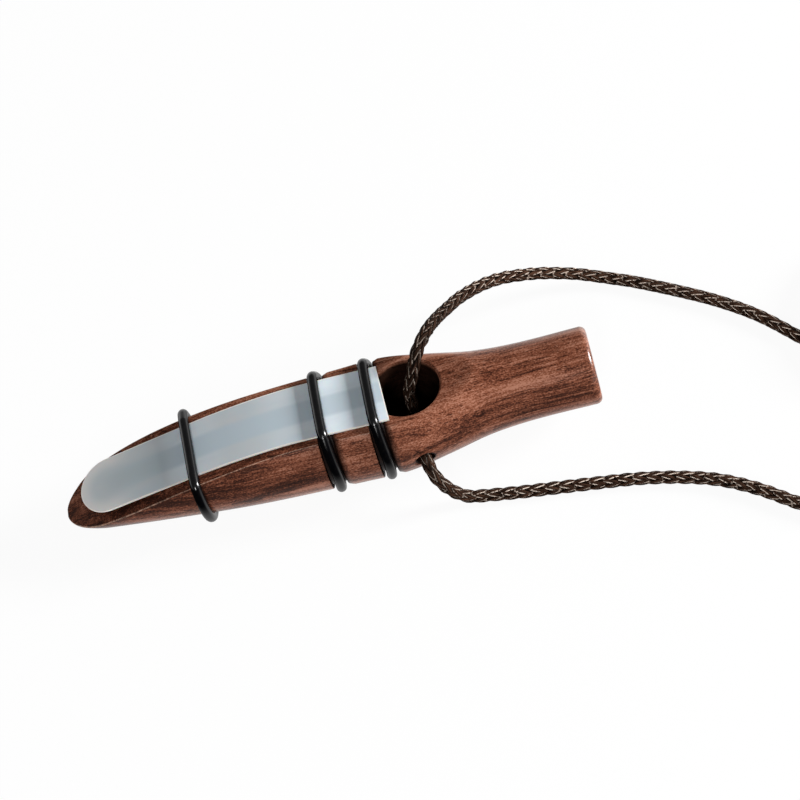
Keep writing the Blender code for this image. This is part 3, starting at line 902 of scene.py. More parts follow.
def drilled(graph, place):
    """1 inside the holes and the bore, which are painted dark: painted shade."""
    x, y, z = graph.split(place)
    hole_x = SOUND_HOLE_X / MM
    hole_edge, bore_edge, cord_edge = [r / MM for r in (SOUND_HOLE_RADIUS, BORE_RADIUS, CORD_HOLE_RADIUS)]
    from_hole = graph.length(graph.join(x - hole_x, y))
    in_hole = graph.step(from_hole, hole_edge + 0.15, hole_edge) * graph.step(z, *HOLE_DARK_HEIGHT)
    from_axis = graph.length(graph.join(0.0, y, z))
    in_bore = graph.step(from_axis, bore_edge + 0.1, bore_edge) * graph.step(x, *BORE_DARK_LENGTH)
    in_bore = in_bore * graph.step(x, hole_x - 1, hole_x + 1)
    from_start = graph.vector("SUBTRACT", place, (CORD_HOLE_X / MM, 0, 0))
    sockets = {0: from_start, 1: CORD_HOLE_WAY}
    depth = graph.node("ShaderNodeVectorMath", sockets, output="Value", operation="DOT_PRODUCT")
    from_way = graph.length(graph.vector("CROSS_PRODUCT", from_start, CORD_HOLE_WAY))
    in_cord_hole = graph.step(from_way, cord_edge + 0.35, cord_edge + 0.1) * graph.step(depth, 0, 1)
    return graph.most(in_hole, in_bore, in_cord_hole)


# %% [markdown]
# ## The walnut's surface
#
# Oil leaves walnut satin. The ring grooves and the insides of the holes are painted dark: painted shade.
# The edges of the flat are painted pale: a painted highlight. They also shine, as do the horn's rim, the far
# side and the underside, which hands polish. Clear gloss is a coat on the shader, and only its weight
# changes over the wood.

# %% Oiled walnut
WALNUT_TONES = [
    (0.05, from_srgb(50, 26, 18)),
    (0.32, from_srgb(88, 49, 35)),
    (0.58, from_srgb(126, 75, 55)),
    (0.95, from_srgb(162, 112, 91)),
]
PORE_TONE = from_srgb(34, 17, 13)
RECESS_SHADE_TONE = from_srgb(10, 5, 4)
EDGE_HIGHLIGHT_TONE = from_srgb(205, 168, 145)
PITH = (0.0, 21.0, -34.0)  # millimetres from the call's axis
# Where a change begins and where it is complete, in millimetres along the axis or from it
FEW_PORES_HEIGHT = (0.5, 4.0)
TOP_LIGHT_HEIGHT = (0.5, 5)
FAR_SIDE_LIGHT = (0.5, 4.5)
UNDERSIDE_LIGHT_HEIGHT = (0.3, -2.7)
UNDERSIDE_LIGHT_LENGTH = (-38, -28)
MOUTH_LENGTH = (6, -18)
TIP_LENGTH = (-32, -40)
HORN_RIM = (42.3, 42.9)
HORN_RIM_HEIGHT = (1, 4)


def grain_noise(graph, grain, along, across, detail, roughness=0.5):
    """Noise that is drawn out along the grain: its scales along and across it, per millimetre."""
    return graph.noise(graph.vector("MULTIPLY", grain, (along, across, across)), detail, roughness)


def walnut_finish():
    fixed = {"IOR": 1.46, "Specular IOR Level": 0.05, "Coat Roughness": 0.22}
    material, graph, shader = new_finish("walnut", fixed)
    place = graph.vector("SUBTRACT", graph.place(), (0, 0, AXIS_Z / MM))
    x, y, z = graph.split(place)
    slow = graph.noise(graph.vector("MULTIPLY", place, (0.05, 0.10, 0.10)), detail=2.0, output="Color")
    sway = graph.vector("MULTIPLY", graph.vector("SUBTRACT", slow, (0.5, 0.5, 0.5)), (0, 3, 3))
    grain = graph.vector("ADD", place, sway)
    years = graph.length(graph.vector("MULTIPLY", graph.vector("SUBTRACT", grain, PITH), (0, 1, 1)))
    rings = graph.noise(graph.join(years * 0.8), detail=3.0, roughness=0.6)
    bands = grain_noise(graph, grain, 0.05, 0.45, detail=2.0)
    streaks = grain_noise(graph, grain, 0.13, 3.0, detail=3.0, roughness=0.6)
    flecks = grain_noise(graph, place, 3.2, 6.0, detail=1.0)
    lines = graph.step(grain_noise(graph, grain, 0.05, 4.4, detail=1.0), 0.58, 0.67)
    lines = lines * graph.step(bands, 0.60, 0.48)
    crowd = graph.step(grain_noise(graph, grain, 0.07, 0.8, detail=2.0), 0.44, 0.64)
    crowd = crowd * (1 - 0.7 * graph.step(z, *FEW_PORES_HEIGHT))
    pores = grain_noise(graph, grain, 0.40, 4.8, detail=2.0, roughness=0.6)
    pores = graph.step(pores + crowd * 0.12, 0.58, 0.74)

    tone = rings * 0.8 + bands * 1.1 + streaks * 1.2 + flecks * 1.4 - 1.84 - crowd * 0.17
    tone = tone - graph.step(x, *MOUTH_LENGTH) * 0.13 + graph.step(x, *TIP_LENGTH) * 0.12
    # painted light: lighter on top, on the far side, and below behind the tip
    tone = tone + graph.step(z, *TOP_LIGHT_HEIGHT) * 0.18 + graph.step(y, *FAR_SIDE_LIGHT) * 0.2
    tone = tone + graph.step(z, *UNDERSIDE_LIGHT_HEIGHT) * graph.step(x, *UNDERSIDE_LIGHT_LENGTH) * 0.36
    dark = graph.most(lines * 0.75, pores * (0.4 + crowd * 0.5))
    edges = graph.attribute("edge_highlight")
    # painted shade: the holes, the bore and the ring grooves are painted dark
    recess_shade = graph.most(drilled(graph, place), graph.attribute("groove_shade"))
    colour = graph.mix(dark, graph.node("ShaderNodeValToRGB", {"Fac": tone}, stops=WALNUT_TONES), PORE_TONE)
    # painted highlight: the flat's eased edges painted pale
    colour = graph.mix(edges * (0.15 + 0.4 * graph.step(streaks + flecks, 0.85, 1.15)), colour, EDGE_HIGHLIGHT_TONE)
    colour = graph.mix(recess_shade * 0.95, colour, RECESS_SHADE_TONE)
    graph.feed(shader.inputs["Base Color"], colour)
    graph.feed(shader.inputs["Roughness"], 0.30 + dark * 0.15)

    rim = graph.step(x, *HORN_RIM) * graph.step(z, *HORN_RIM_HEIGHT)
    far, upward = graph.split(graph.node("ShaderNodeNewGeometry", output="Normal"))[1:]
    sheen = graph.step(far, 0.25, 0.65) * 0.5 + graph.step(upward, 0.05, -0.45) * 0.3
    graph.feed(shader.inputs["Coat Weight"], graph.most(rim, edges * 0.6, sheen * (1 - recess_shade)))
    relief = streaks * 0.3 + flecks * 0.3 - dark * 0.6
    bump = graph.node("ShaderNodeBump", {"Strength": 0.35, "Distance": 0.05 * MM, "Height": relief})
    graph.feed(shader.inputs["Normal"], bump)
    return material


walnut = walnut_finish()
print(f"walnut: {len(walnut.node_tree.nodes)} nodes")

# %% [markdown]
# ## The turned wood
#
# The body is turned on a lathe and then cut: a flat that falls towards the mouth as a tone board, an air
# channel along it, a sound hole from above, a bore from the horn end and a small hole for the cord. Screw
# and Spin turn a profile into a solid. Here the same kind of profile feeds a loft, as the next step says.
# It runs along the outside, down into the two ring grooves, and back inside the bore.

# %% The outside of the turning
OUTLINE = [  # place along the axis and radius, in millimetres
    (-43.5, 5.52),
    (-26.5, 7.34),
    (-12.3, 8.53),
    (4.3, 9.13),
    (11.5, 9.2),
    (18.4, 8.07),
    (25.5, 6.72),
    (32.5, 6.22),
    (42.7, 6.24),
]
NOSE_START_X = -36.5 * MM
NOSE_ROUND = (9.4 * MM, 4.7 * MM)


def smooth_value(knots, x):
    """The value at x of a smooth curve through the knots, whose slopes come from each knot's neighbours."""
    last = len(knots) - 1
    i = max(k for k in range(last) if knots[k][0] <= x or k == 0)

    def slope(k):
        low, high = knots[max(k - 1, 0)], knots[min(k + 1, last)]
        return (high[1] - low[1]) / (high[0] - low[0])

    width = knots[i + 1][0] - knots[i][0]
    t = (x - knots[i][0]) / width
    rise = 3 * t**2 - 2 * t**3
    value = knots[i][1] * (1 - rise) + knots[i + 1][1] * rise
    return value + width * ((t**3 - 2 * t**2 + t) * slope(i) + (t**3 - t**2) * slope(i + 1))


def wood_radius(x):
    """Radius of the turned wood, which drops from its straight taper along an ellipse at the nose."""
    radius = smooth_value(OUTLINE, x / MM) * MM
    into_nose = max(NOSE_START_X - x, 0) / NOSE_ROUND[0]
    return radius - NOSE_ROUND[1] * (1 - math.sqrt(1 - into_nose**2))


widest = max(radius for x, radius in OUTLINE)
print(f"the wood is {2 * widest:.1f} mm across at its thickest")

# %% Profile with its grooves and bore
wood_low, wood_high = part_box("call_body")
TIP_X = wood_low.x
HORN_X = wood_high.x
HORN_EDGE = 1.0 * MM
BORE_EDGE = 0.35 * MM
RING_THICKNESS = 1.8 * MM
RING_RADIUS = AXIS_Z - RING_THICKNESS / 2
GROOVE_FRONT, GROOVE_REAR = 0.85 * MM, 1.6 * MM  # its walls, measured from the ring's packed place
GROOVE_CHAMFER = (0.95 * MM, 0.35 * MM)
GROOVE_EASE = 0.16 * MM
GROOVE_LIFT = 0.18 * MM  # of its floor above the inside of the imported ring
GROOVE_BEFORE, GROOVE_AFTER = 0.4 * MM, 0.5 * MM  # how much of the outside is eased with it
PROFILE_STEP = 0.6 * MM
BORE_STEP = 3 * MM
NOSE_STEPS = 30


def steps_between(start, end, step):
    count = max(1, round(abs(end - start) / step))
    return [start + (end - start) * k / count for k in range(count + 1)]


def eased(points, ease, pieces=4):
    """A line of points with its inner corners rounded."""
    line = [points[0]]
    for a, b, c in zip(points, points[1:], points[2:]):
        a, b, c = Vector(a), Vector(b), Vector(c)
        before = b.lerp(a, min(0.45, ease / (b - a).length))
        after = b.lerp(c, min(0.45, ease / (b - c).length))
        for k in range(pieces + 1):
            t = k / pieces
            line.append(tuple(before * (1 - t) ** 2 + b * 2 * t * (1 - t) + after * t**2))
    return line + [points[-1]]


def groove_corners(ring_x):
    """Corners of a ring's groove, from the outside before it to the outside after it."""
    front, rear = ring_x - GROOVE_FRONT, ring_x + GROOVE_REAR
    lip = rear + GROOVE_CHAMFER[0]
    before, after = front - GROOVE_BEFORE, lip + GROOVE_AFTER
    floor = RING_RADIUS - RING_THICKNESS / 2 + GROOVE_LIFT
    corners = [(before, wood_radius(before)), (front, wood_radius(front)), (front, floor), (rear, floor)]
    corners.append((rear, wood_radius(lip) - GROOVE_CHAMFER[1]))
    return corners + [(lip, wood_radius(lip)), (after, wood_radius(after))]


def turned_profile():
    """(x, radius) of the wood, from the nose along the outside to the horn end and back down the bore."""
    nose = [TIP_X + (NOSE_START_X - TIP_X) * (k / NOSE_STEPS) ** 1.5 for k in range(NOSE_STEPS + 1)]
    points = [(x, wood_radius(x)) for x in nose]
    for node in ("front_keeper_ring", "rear_keeper_ring"):
        groove = groove_corners(middle(node).x)
        outside = steps_between(points[-1][0], groove[0][0], PROFILE_STEP)[1:]
        points += [(x, wood_radius(x)) for x in outside]
        points += eased(groove, GROOVE_EASE)[1:]
    edge_x = HORN_X - HORN_EDGE
    outside = steps_between(points[-1][0], edge_x, PROFILE_STEP)[1:]
    points += [(x, wood_radius(x)) for x in outside]
    points += arc((edge_x, wood_radius(edge_x) - HORN_EDGE), HORN_EDGE, math.pi / 2, 0, 9)[1:]
    points += [(HORN_X, BORE_RADIUS + BORE_EDGE), (HORN_X - BORE_EDGE, BORE_RADIUS)]
    inside = steps_between(HORN_X - BORE_EDGE, SOUND_HOLE_X, BORE_STEP)[1:]
    return points + [(x, BORE_RADIUS) for x in inside]


profile = turned_profile()
print(f"the profile of the turning has {len(profile)} points")

# %% [markdown]
# ## The flat and its eased edges
#
# A spun profile with the flat cut off by a Boolean has knife edges there, and the real edges are eased and
# catch the light. So the body is lofted: each cross-section along the axis is worked out whole, with its
# eased edges, and joined to the next one. The easing is small along the tone board and grows where the flat
# runs out behind the sound hole. Two numbers are kept on every point for the finish: how far an edge is
# painted pale as a highlight, and how deep a point lies in a groove, which is painted dark as shade.

# %% Cross-sections
BOARD_HEIGHT = 6.0 * MM
BOARD_START_X = 0.5 * MM
BOARD_CURVE = 98 * MM
RUN_OUT_X = 15.5 * MM
RUN_OUT_CURVE = 60 * MM
EDGE_EASE = 0.2 * MM
EDGE_GUARD = 0.1 * MM  # a row of points beside the edge keeps the flat's shading flat
RUN_OUT_EASE = 3.0 * MM
SOFTENS_FROM, SOFTENS_TO = 9 * MM, 24 * MM
LEAST_FLAT = 0.3 * MM
OPENING_RATE = 0.03  # how fast the points spread where the flat has ended, in radians a millimetre
FLAT_POINTS = 13
EASE_POINTS = 4
ROUND_POINTS = 52


def board_height(x):
    """Height of the tone board and of the flat behind it, above the axis."""
    if x < BOARD_START_X:
        return BOARD_HEIGHT - (x - BOARD_START_X) ** 2 / (2 * BOARD_CURVE)
    return BOARD_HEIGHT + max(x - RUN_OUT_X, 0) ** 2 / (2 * RUN_OUT_CURVE)


def softened(x):
    """0 along the tone board, where the flat's edges are crisp, and 1 where the flat has run out."""
    t = min(max((x - SOFTENS_FROM) / (SOFTENS_TO - SOFTENS_FROM), 0), 1)
    return 3 * t**2 - 2 * t**3


def wood_section(x, radius):
    """A closed cross-section of the wood at x, as points in space."""
    height = board_height(x)
    ease = min(EDGE_EASE, 0.1 * (radius + height)) + RUN_OUT_EASE * softened(x)
    square = (radius - ease) ** 2 - (height - ease) ** 2
    flat = math.sqrt(square) if square > 0 and height < radius else 0.0
    if flat > (LEAST_FLAT if x > 0 else 0):
        guard = flat - min(EDGE_GUARD, 0.3 * flat)
        half = [(guard * k / (FLAT_POINTS - 2), height) for k in range(FLAT_POINTS - 1)] + [(flat, height)]
        turn = math.atan2(height - ease, flat)
        half += arc((flat, height - ease), ease, math.pi / 2, turn, EASE_POINTS + 1)[1:]
    else:
        turn = math.pi / 2 - LEAST_FLAT / radius - OPENING_RATE * max(x / MM - SOFTENS_TO / MM, 0)
        half = arc((0, 0), radius, math.pi / 2, turn, FLAT_POINTS + EASE_POINTS)
    half += arc((0, 0), radius, turn, -math.pi / 2, ROUND_POINTS + 1)[1:]
    whole = half + [(-y, z) for y, z in reversed(half[1:-1])]
    return [Vector((x, y, AXIS_Z + z)) for y, z in whole]


print(f"the tone board falls {(BOARD_HEIGHT - board_height(TIP_X)) / MM:.1f} mm towards the tip")

# %% Join the cross-sections
SECTION_POINTS = 2 * (FLAT_POINTS + EASE_POINTS + ROUND_POINTS - 1)
EDGE_HIGHLIGHT_TO, EDGE_HIGHLIGHT_FADE = 12 * MM, 4 * MM
GROOVE_SHADE_DEPTH = 0.3 * MM


def loft(name, loops):
    """A mesh through loops of points, each with the same number, with a face on each end."""
    shape = bmesh.new()
    rows = [[shape.verts.new(p) for p in loop] for loop in loops]
    for row, following in zip(rows, rows[1:]):
        for k in range(len(row)):
            shape.faces.new((row[k - 1], row[k], following[k], following[k - 1]))
    shape.faces.new(rows[0])
    shape.faces.new(rows[-1])
    bmesh.ops.recalc_face_normals(shape, faces=shape.faces)
    mesh = bpy.data.meshes.new(name)
    shape.to_mesh(mesh)
    shape.free()
    obj = bpy.data.objects.new(name, mesh)
    bpy.context.scene.collection.objects.link(obj)
    return obj


def edge_highlight_mask():
    """For every point of the turning, 1 on the eased edges of the flat, which are painted pale as a
    highlight, and 0 behind the reed's end.
    """
    shining = range(FLAT_POINTS, FLAT_POINTS + EASE_POINTS - 1)
    loop = [float(min(k, SECTION_POINTS - k) in shining) for k in range(SECTION_POINTS)]
    fades = [min(max((EDGE_HIGHLIGHT_TO - x) / EDGE_HIGHLIGHT_FADE, 0), 1) for x, radius in profile]
    return [highlight_share * fade for fade in fades for highlight_share in loop]


def groove_shade_mask():
    """For every point of the turning, 1 deep in a ring's groove, which is painted dark: painted shade."""
    values = []
    for x, radius in profile:
        depth = wood_radius(x) - radius if x < SOUND_HOLE_X else 0
        values += [min(max(depth / GROOVE_SHADE_DEPTH, 0), 1)] * SECTION_POINTS
    return values


blank = loft("turning", [wood_section(x, radius) for x, radius in profile])
for layer, values in (("edge_highlight", edge_highlight_mask()), ("groove_shade", groove_shade_mask())):
    blank.data.attributes.new(layer, "FLOAT", "POINT").data.foreach_set("value", values)
print(f"the turning has {len(blank.data.polygons)} faces")

# %% [markdown]
# ## The channel and the holes
#
# On the real call these are routed and drilled, so a Boolean does the same here: each cutter has the shape
# that its tool leaves. The channel's cutter is a slot with a round-cornered floor that follows the board.
# A drill widens at 45 degrees just below the surface, which breaks the sharp edge of its hole.

# %% Cut the air channel and the holes
CHANNEL_HALF_WIDTH = 2 * MM
CHANNEL_DEPTH = 2 * MM
CHANNEL_CORNER = 0.7 * MM
CHANNEL_FRONT_X = -30.5 * MM
CHANNEL_STEP = 1.5 * MM
CHANNEL_CUTTER_HEIGHT = 8 * MM
SOUND_HOLE_FLOOR = -5.0 * MM
SOUND_HOLE_FLARE = 6 * MM
CORD_HOLE_START = 3 * MM
CORD_HOLE_FLARE = 4 * MM
HOLE_EDGE = 0.18 * MM
SHARP_ANGLE = math.radians(35)


def channel_cutter():
    """A slot with a round-cornered floor that follows the tone board."""
    loops = []
    for x in steps_between(CHANNEL_FRONT_X, BOARD_START_X, CHANNEL_STEP) + [SOUND_HOLE_X]:
        floor = board_height(x) - CHANNEL_DEPTH
        centre = (CHANNEL_HALF_WIDTH - CHANNEL_CORNER, floor + CHANNEL_CORNER)
        half = arc(centre, CHANNEL_CORNER, -math.pi / 2, 0, 6)
        half.append((CHANNEL_HALF_WIDTH, floor + CHANNEL_CUTTER_HEIGHT))
        whole = half + [(-y, z) for y, z in reversed(half)]
        loops.append([Vector((x, y, AXIS_Z + z)) for y, z in whole])
    return loft("channel cutter", loops)


def drill(name, start, way, depths, radius, flare, sides):
    """A round cutter along a way: it begins at the first depth and widens from just below the second on."""
    first, rim = depths
    stages = [(first, radius), (rim - HOLE_EDGE, radius), (rim + flare, radius + HOLE_EDGE + flare)]
    turn = way.to_track_quat("Z", "Y")
    loops = []
    for depth, stage_radius in stages:
        ring = arc((0, 0), stage_radius, 0, math.tau, sides + 1)[:-1]
        loops.append([start + turn @ Vector((u, v, depth)) for u, v in ring])
    return loft(name, loops)


def cut(obj, cutters):
    for cutter in cutters:
        boolean = obj.modifiers.new(cutter.name, "BOOLEAN")
        boolean.operation = "DIFFERENCE"
        boolean.solver = "EXACT"
        boolean.object = cutter
    piece = plain_mesh(obj, "walnut_body")
    for cutter in cutters:
        bpy.data.objects.remove(cutter)
    return piece


hole_start = Vector((SOUND_HOLE_X, 0, AXIS_Z + SOUND_HOLE_FLOOR))
hole_depths = (0, BOARD_HEIGHT - SOUND_HOLE_FLOOR)
upright = Vector((0, 0, 1))
hole_drill = drill(
    "sound hole drill", hole_start, upright, hole_depths, SOUND_HOLE_RADIUS, SOUND_HOLE_FLARE, sides=96
)
cord_start = Vector((CORD_HOLE_X, 0, AXIS_Z))
cord_depths = (CORD_HOLE_START, wood_radius(CORD_HOLE_X))
cord_drill = drill(
    "cord hole drill", cord_start, CORD_HOLE_WAY, cord_depths, CORD_HOLE_RADIUS, CORD_HOLE_FLARE, sides=48
)
body = cut(blank, [channel_cutter(), hole_drill, cord_drill])
body.data.materials.clear()
body.data.materials.append(walnut)
body.data.shade_smooth()
body.data.set_sharp_from_angle(angle=SHARP_ANGLE)
highlit_points = sum(point.value > 0 for point in body.data.attributes["edge_highlight"].data)
print(f"walnut body: {len(body.data.polygons)} faces, {highlit_points} points on rubbed edges")

# %% [markdown]
# ## Milky plastic
#
# The reed is a strip of milky plastic film. Light passes into it: it is bluer over the air channel, paler
# where wood is close below, and palest at its cut rim. Ahead of the tuning ring it stands clear of the
# board and is greyer in the middle, with a light margin round the tip. Right next to the ring that greyer
# tone is lifted back towards pale: painted light over the ring's cast shadow. Real light through a thin film
# is slow to render and noisy, so the tones are mixed by place and only a little scatters below the surface.

# %% Tones of the reed
REED_PALE = from_srgb(227, 237, 244)
REED_CHANNEL = from_srgb(176, 194, 205)
REED_FRONT_TONE = from_srgb(193, 199, 202)
REED_HOLLOW = from_srgb(172, 183, 187)
REED_MARGIN = from_srgb(219, 218, 216)
REED_RIM_TONE = from_srgb(238, 234, 228)
REED_TIP_X = -40.2 * MM
REED_TIP_LENGTH = 4.8 * MM
TUNING_RING_X = middle("tuning_ring").x
# Where a tone begins and where it is complete, in millimetres along the call or from its middle line
CHANNEL_WIDTH_TONE = (2.7, 1.5)
CHANNEL_LENGTH_TONE = (-38, -28)
FRONT_LENGTH = (3, -12)
RING_SHADOW_LIFT = (7, 1)
HOLLOW_WIDTH = (3.5, 0.5)
HOLLOW_FRONT, HOLLOW_REAR = (-39, -33), (-23, -29)
MARGIN_RADIUS = (2.2, 4.9)
MARGIN_LENGTH = (-30, -36)


def reed_tones(graph, place):
    """The reed's colour from place to place."""
    x, y, _ = graph.split(place)
    ring_x = TUNING_RING_X / MM
    off_middle = graph.math("ABSOLUTE", y)
    ring_shadow_lift = graph.step(graph.math("ABSOLUTE", x - ring_x), *RING_SHADOW_LIFT)
    in_front = graph.step(x, ring_x, ring_x - 1)
    # painted light: next to the tuning ring the front tone is lifted back towards pale, over the ring's
    # shadow
    ahead = graph.step(x, *FRONT_LENGTH) * (1 - ring_shadow_lift * (0.5 + in_front * 0.5))
    over_channel = graph.step(off_middle, *CHANNEL_WIDTH_TONE) * graph.step(x, *CHANNEL_LENGTH_TONE)
    hollow = graph.step(off_middle, *HOLLOW_WIDTH)
    hollow = hollow * graph.step(x, *HOLLOW_FRONT) * graph.step(x, *HOLLOW_REAR)
    into_tip = graph.math("MINIMUM", x - (REED_TIP_X + REED_TIP_LENGTH) / MM, 0.0)
    from_middle = graph.math("SQRT", into_tip * into_tip + y * y)
    margin = graph.step(from_middle, *MARGIN_RADIUS) * graph.step(x, *MARGIN_LENGTH)
    cloudy = graph.noise(graph.vector("MULTIPLY", place, (0.10, 0.35, 0.35)), detail=3.0)
    shade = graph.most(over_channel * 0.65, graph.step(cloudy, 0.35, 0.75) * 0.3)
    colour = graph.mix(ahead, REED_PALE, REED_FRONT_TONE)
    colour = graph.mix(shade, colour, REED_CHANNEL)
    colour = graph.mix(hollow * 0.7, colour, REED_HOLLOW)
    colour = graph.mix(margin, colour, REED_MARGIN)
    return graph.mix(graph.attribute("rim"), colour, REED_RIM_TONE)


def reed_finish():
    fixed = {"IOR": 1.5, "Subsurface Weight": 0.12, "Subsurface Scale": 0.4 * MM, "Coat Weight": 0.1}
    material, graph, shader = new_finish("reed_plastic", fixed)
    place = graph.place()
    graph.feed(shader.inputs["Base Color"], reed_tones(graph, place))
    drawn_lines = graph.noise(graph.vector("MULTIPLY", place, (0.5, 9.0, 9.0)), detail=3.0)
    graph.feed(shader.inputs["Roughness"], 0.30 + drawn_lines * 0.18)
    bump = graph.node("ShaderNodeBump", {"Strength": 0.06, "Distance": 0.02 * MM, "Height": drawn_lines})
    graph.feed(shader.inputs["Normal"], bump)
    return material


milky_plastic = reed_finish()
print(f"milky plastic: {len(milky_plastic.node_tree.nodes)} nodes")

# %% [markdown]
# ## The reed
#
# The strip is square at the back and round at the tip. It follows the tone board as far as the front ring
# and runs on straight from there, so that its tip stands clear of the wood and can beat. A flat sheet of
# rows is enough: Solidify gives it thickness and Bevel softens its edge. The rows are bent at the tip and
# straighten towards the ring, so that no face is pinched in the round end.

# %% Shape the reed
REED_THICKNESS = 0.3 * MM
REED_LIFT = 0.42 * MM  # of its upper face above the board
REED_REAR_X = 10.5 * MM
REED_REAR_SKEW = 0.043  # its back end isn't cut quite square
REED_SKEW_LENGTH = 6 * MM
REED_TURN = 0.016  # and lies a little askew
REED_TURNS_FROM_X = -5 * MM
REED_HALF_WIDTH = 5.48 * MM
REED_TIP_HALF_WIDTH = 5.0 * MM
REED_STRAIGHTENS = 22 * MM  # the length over which the rows lose the tip's bend
REED_STEP = 0.55 * MM
REED_COLUMNS = 32
REED_EDGE = 0.07 * MM
REED_RIM = 0.11 * MM
REED_RIM_COLUMNS = 3


def reed_top(x):
    """Height of the reed's upper face above the axis."""
    if x > TUNING_RING_X:
        return board_height(x) + REED_LIFT
    slope = (BOARD_START_X - TUNING_RING_X) / BOARD_CURVE
    return board_height(TUNING_RING_X) + REED_LIFT + slope * (x - TUNING_RING_X)


def reed_half_width(x):
    taper = min(x - BOARD_START_X, 0) / (REED_TIP_X - BOARD_START_X)
    return REED_HALF_WIDTH + (REED_TIP_HALF_WIDTH - REED_HALF_WIDTH) * taper


def reed_rows(shape):
    """Rows of points across the reed. The first is bent into the round tip, and the bend fades."""
    places = steps_between(REED_TIP_X + 2 * REED_RIM, REED_REAR_X - 2 * REED_RIM, REED_STEP)
    places = [REED_TIP_X, REED_TIP_X + REED_RIM, *places, REED_REAR_X - REED_RIM, REED_REAR_X]
    rows = []
    for middle_x in places:
        fade = max(1 - (middle_x - REED_TIP_X) / REED_STRAIGHTENS, 0) ** 2
        near_rear = max(1 - (REED_REAR_X - middle_x) / REED_SKEW_LENGTH, 0)
        row = []
        for k in range(REED_COLUMNS + 1):
            turn = math.pi * (k / REED_COLUMNS - 0.5)
            x = middle_x + REED_TIP_LENGTH * fade * (1 - math.cos(turn))
            y = reed_half_width(x) * math.sin(turn)
            x -= REED_REAR_SKEW * near_rear * y
            y -= REED_TURN * max(x - REED_TURNS_FROM_X, 0)
            row.append(shape.verts.new((x, y, AXIS_Z + reed_top(x))))
        rows.append(row)
    return rows


def make_reed():
    """A sheet through the rows, marked along its rim, with a thickness and a soft edge."""
    shape = bmesh.new()
    rim = shape.verts.layers.float.new("rim")
    rows = reed_rows(shape)
    for vert in rows[0] + rows[1] + rows[-2] + rows[-1]:
        vert[rim] = 1.0
    for row in rows:
        for vert in row[:REED_RIM_COLUMNS] + row[-REED_RIM_COLUMNS:]:
            vert[rim] = 1.0
    for row, following in zip(rows, rows[1:]):
        for k in range(REED_COLUMNS):
            shape.faces.new((row[k], following[k], following[k + 1], row[k + 1]))
    mesh = bpy.data.meshes.new("reed sheet")
    shape.to_mesh(mesh)
    shape.free()
    sheet = bpy.data.objects.new("reed sheet", mesh)
    bpy.context.scene.collection.objects.link(sheet)
    solidify = sheet.modifiers.new("thickness", "SOLIDIFY")
    solidify.thickness = REED_THICKNESS
    solidify.offset = -1
    bevel = sheet.modifiers.new("soft edge", "BEVEL")
    bevel.width = REED_EDGE
    bevel.segments = 2
    bevel.limit_method = "ANGLE"
    bevel.angle_limit = math.radians(50)
    return plain_mesh(sheet, "milky_reed")


reed = make_reed()
reed.data.materials.append(milky_plastic)
reed.data.shade_smooth()
reed.data.set_sharp_from_angle(angle=SHARP_ANGLE)
print(f"milky reed: {len(reed.data.polygons)} faces")

# %% [markdown]
# ## Black rubber
#
# The rings are black rubber, matt on the flanks. Tops, ends and undersides are rubbed smooth and shine, and
# so does the side towards the horn. A glossy black all over would mirror the white floor and look grey. So
# the rubber itself has no shine here, and a clear coat has it all, with a weight that depends on which way
# the surface faces.

# %% Rubber that shines where it is rubbed
RUBBER_BLACK = (0.0015, 0.0015, 0.002, 1)
RUBBER_GRIMY = (0.003, 0.0028, 0.0028, 1)


def rubber_finish():
    fixed = {"Specular IOR Level": 0.0, "Coat Roughness": 0.23, "Coat IOR": 1.6}
    material, graph, shader = new_finish("black_rubber", fixed)
    grime = graph.noise(graph.scale(graph.place(), 1.6), detail=4.0)
    colour = graph.mix(graph.step(grime, 0.4, 0.7), RUBBER_BLACK, RUBBER_GRIMY)
    graph.feed(shader.inputs["Base Color"], colour)
    graph.feed(shader.inputs["Roughness"], 0.14 + grime * 0.14)
    to_horn, to_far_side, upward = graph.split(graph.node("ShaderNodeNewGeometry", output="Normal"))
    shining = graph.most(
        graph.step(upward, 0.56, 0.70),
        graph.step(upward, 0.14, -0.16) * 0.5,
        graph.step(to_far_side, 0.15, 0.50),
        graph.step(to_horn, 0.45, 0.75) * 0.6,
    )
    graph.feed(shader.inputs["Coat Weight"], shining)
    bump = graph.node("ShaderNodeBump", {"Strength": 0.05, "Distance": 0.02 * MM, "Height": grime})
    graph.feed(shader.inputs["Normal"], bump)
    return material


black_rubber = rubber_finish()
print(f"black rubber: {len(black_rubber.node_tree.nodes)} nodes")

# %% [markdown]
# ## The rubber rings
#
# Three O-rings hold the reed. Each is a round cord of rubber stretched to a shape that its neighbours give
# it: straight across the reed, down to the edge of the flat, and round the wood. A torus would hang in the
# air above the flat. That taut shape is a line of arcs, and the tube tree from the tie makes the ring.

# %% Stretch the rings
RING_SIZES = {"Thickness": 1.66 * MM}  # a stretched ring is a little thinner than a loose one
RING_PRESS = 0.12 * MM  # how far the stretched rubber is pressed flat on what it holds
RING_BEND = 1.3 * MM  # radius of its middle line over an edge
RING_TOP_POINTS, RING_BEND_POINTS, RING_ROUND_POINTS = 6, 8, 50
TUNING_RING_SKEW = 0.025  # it sits a little askew, its near side further back
TUNING_RING_LEAN = 0.03  # and its underside too
KEEPER_SHIFT = 0.08 * MM  # the keepers lie towards the back of their grooves,
KEEPER_BOW = 0.55 * MM  # and most of all on the flanks


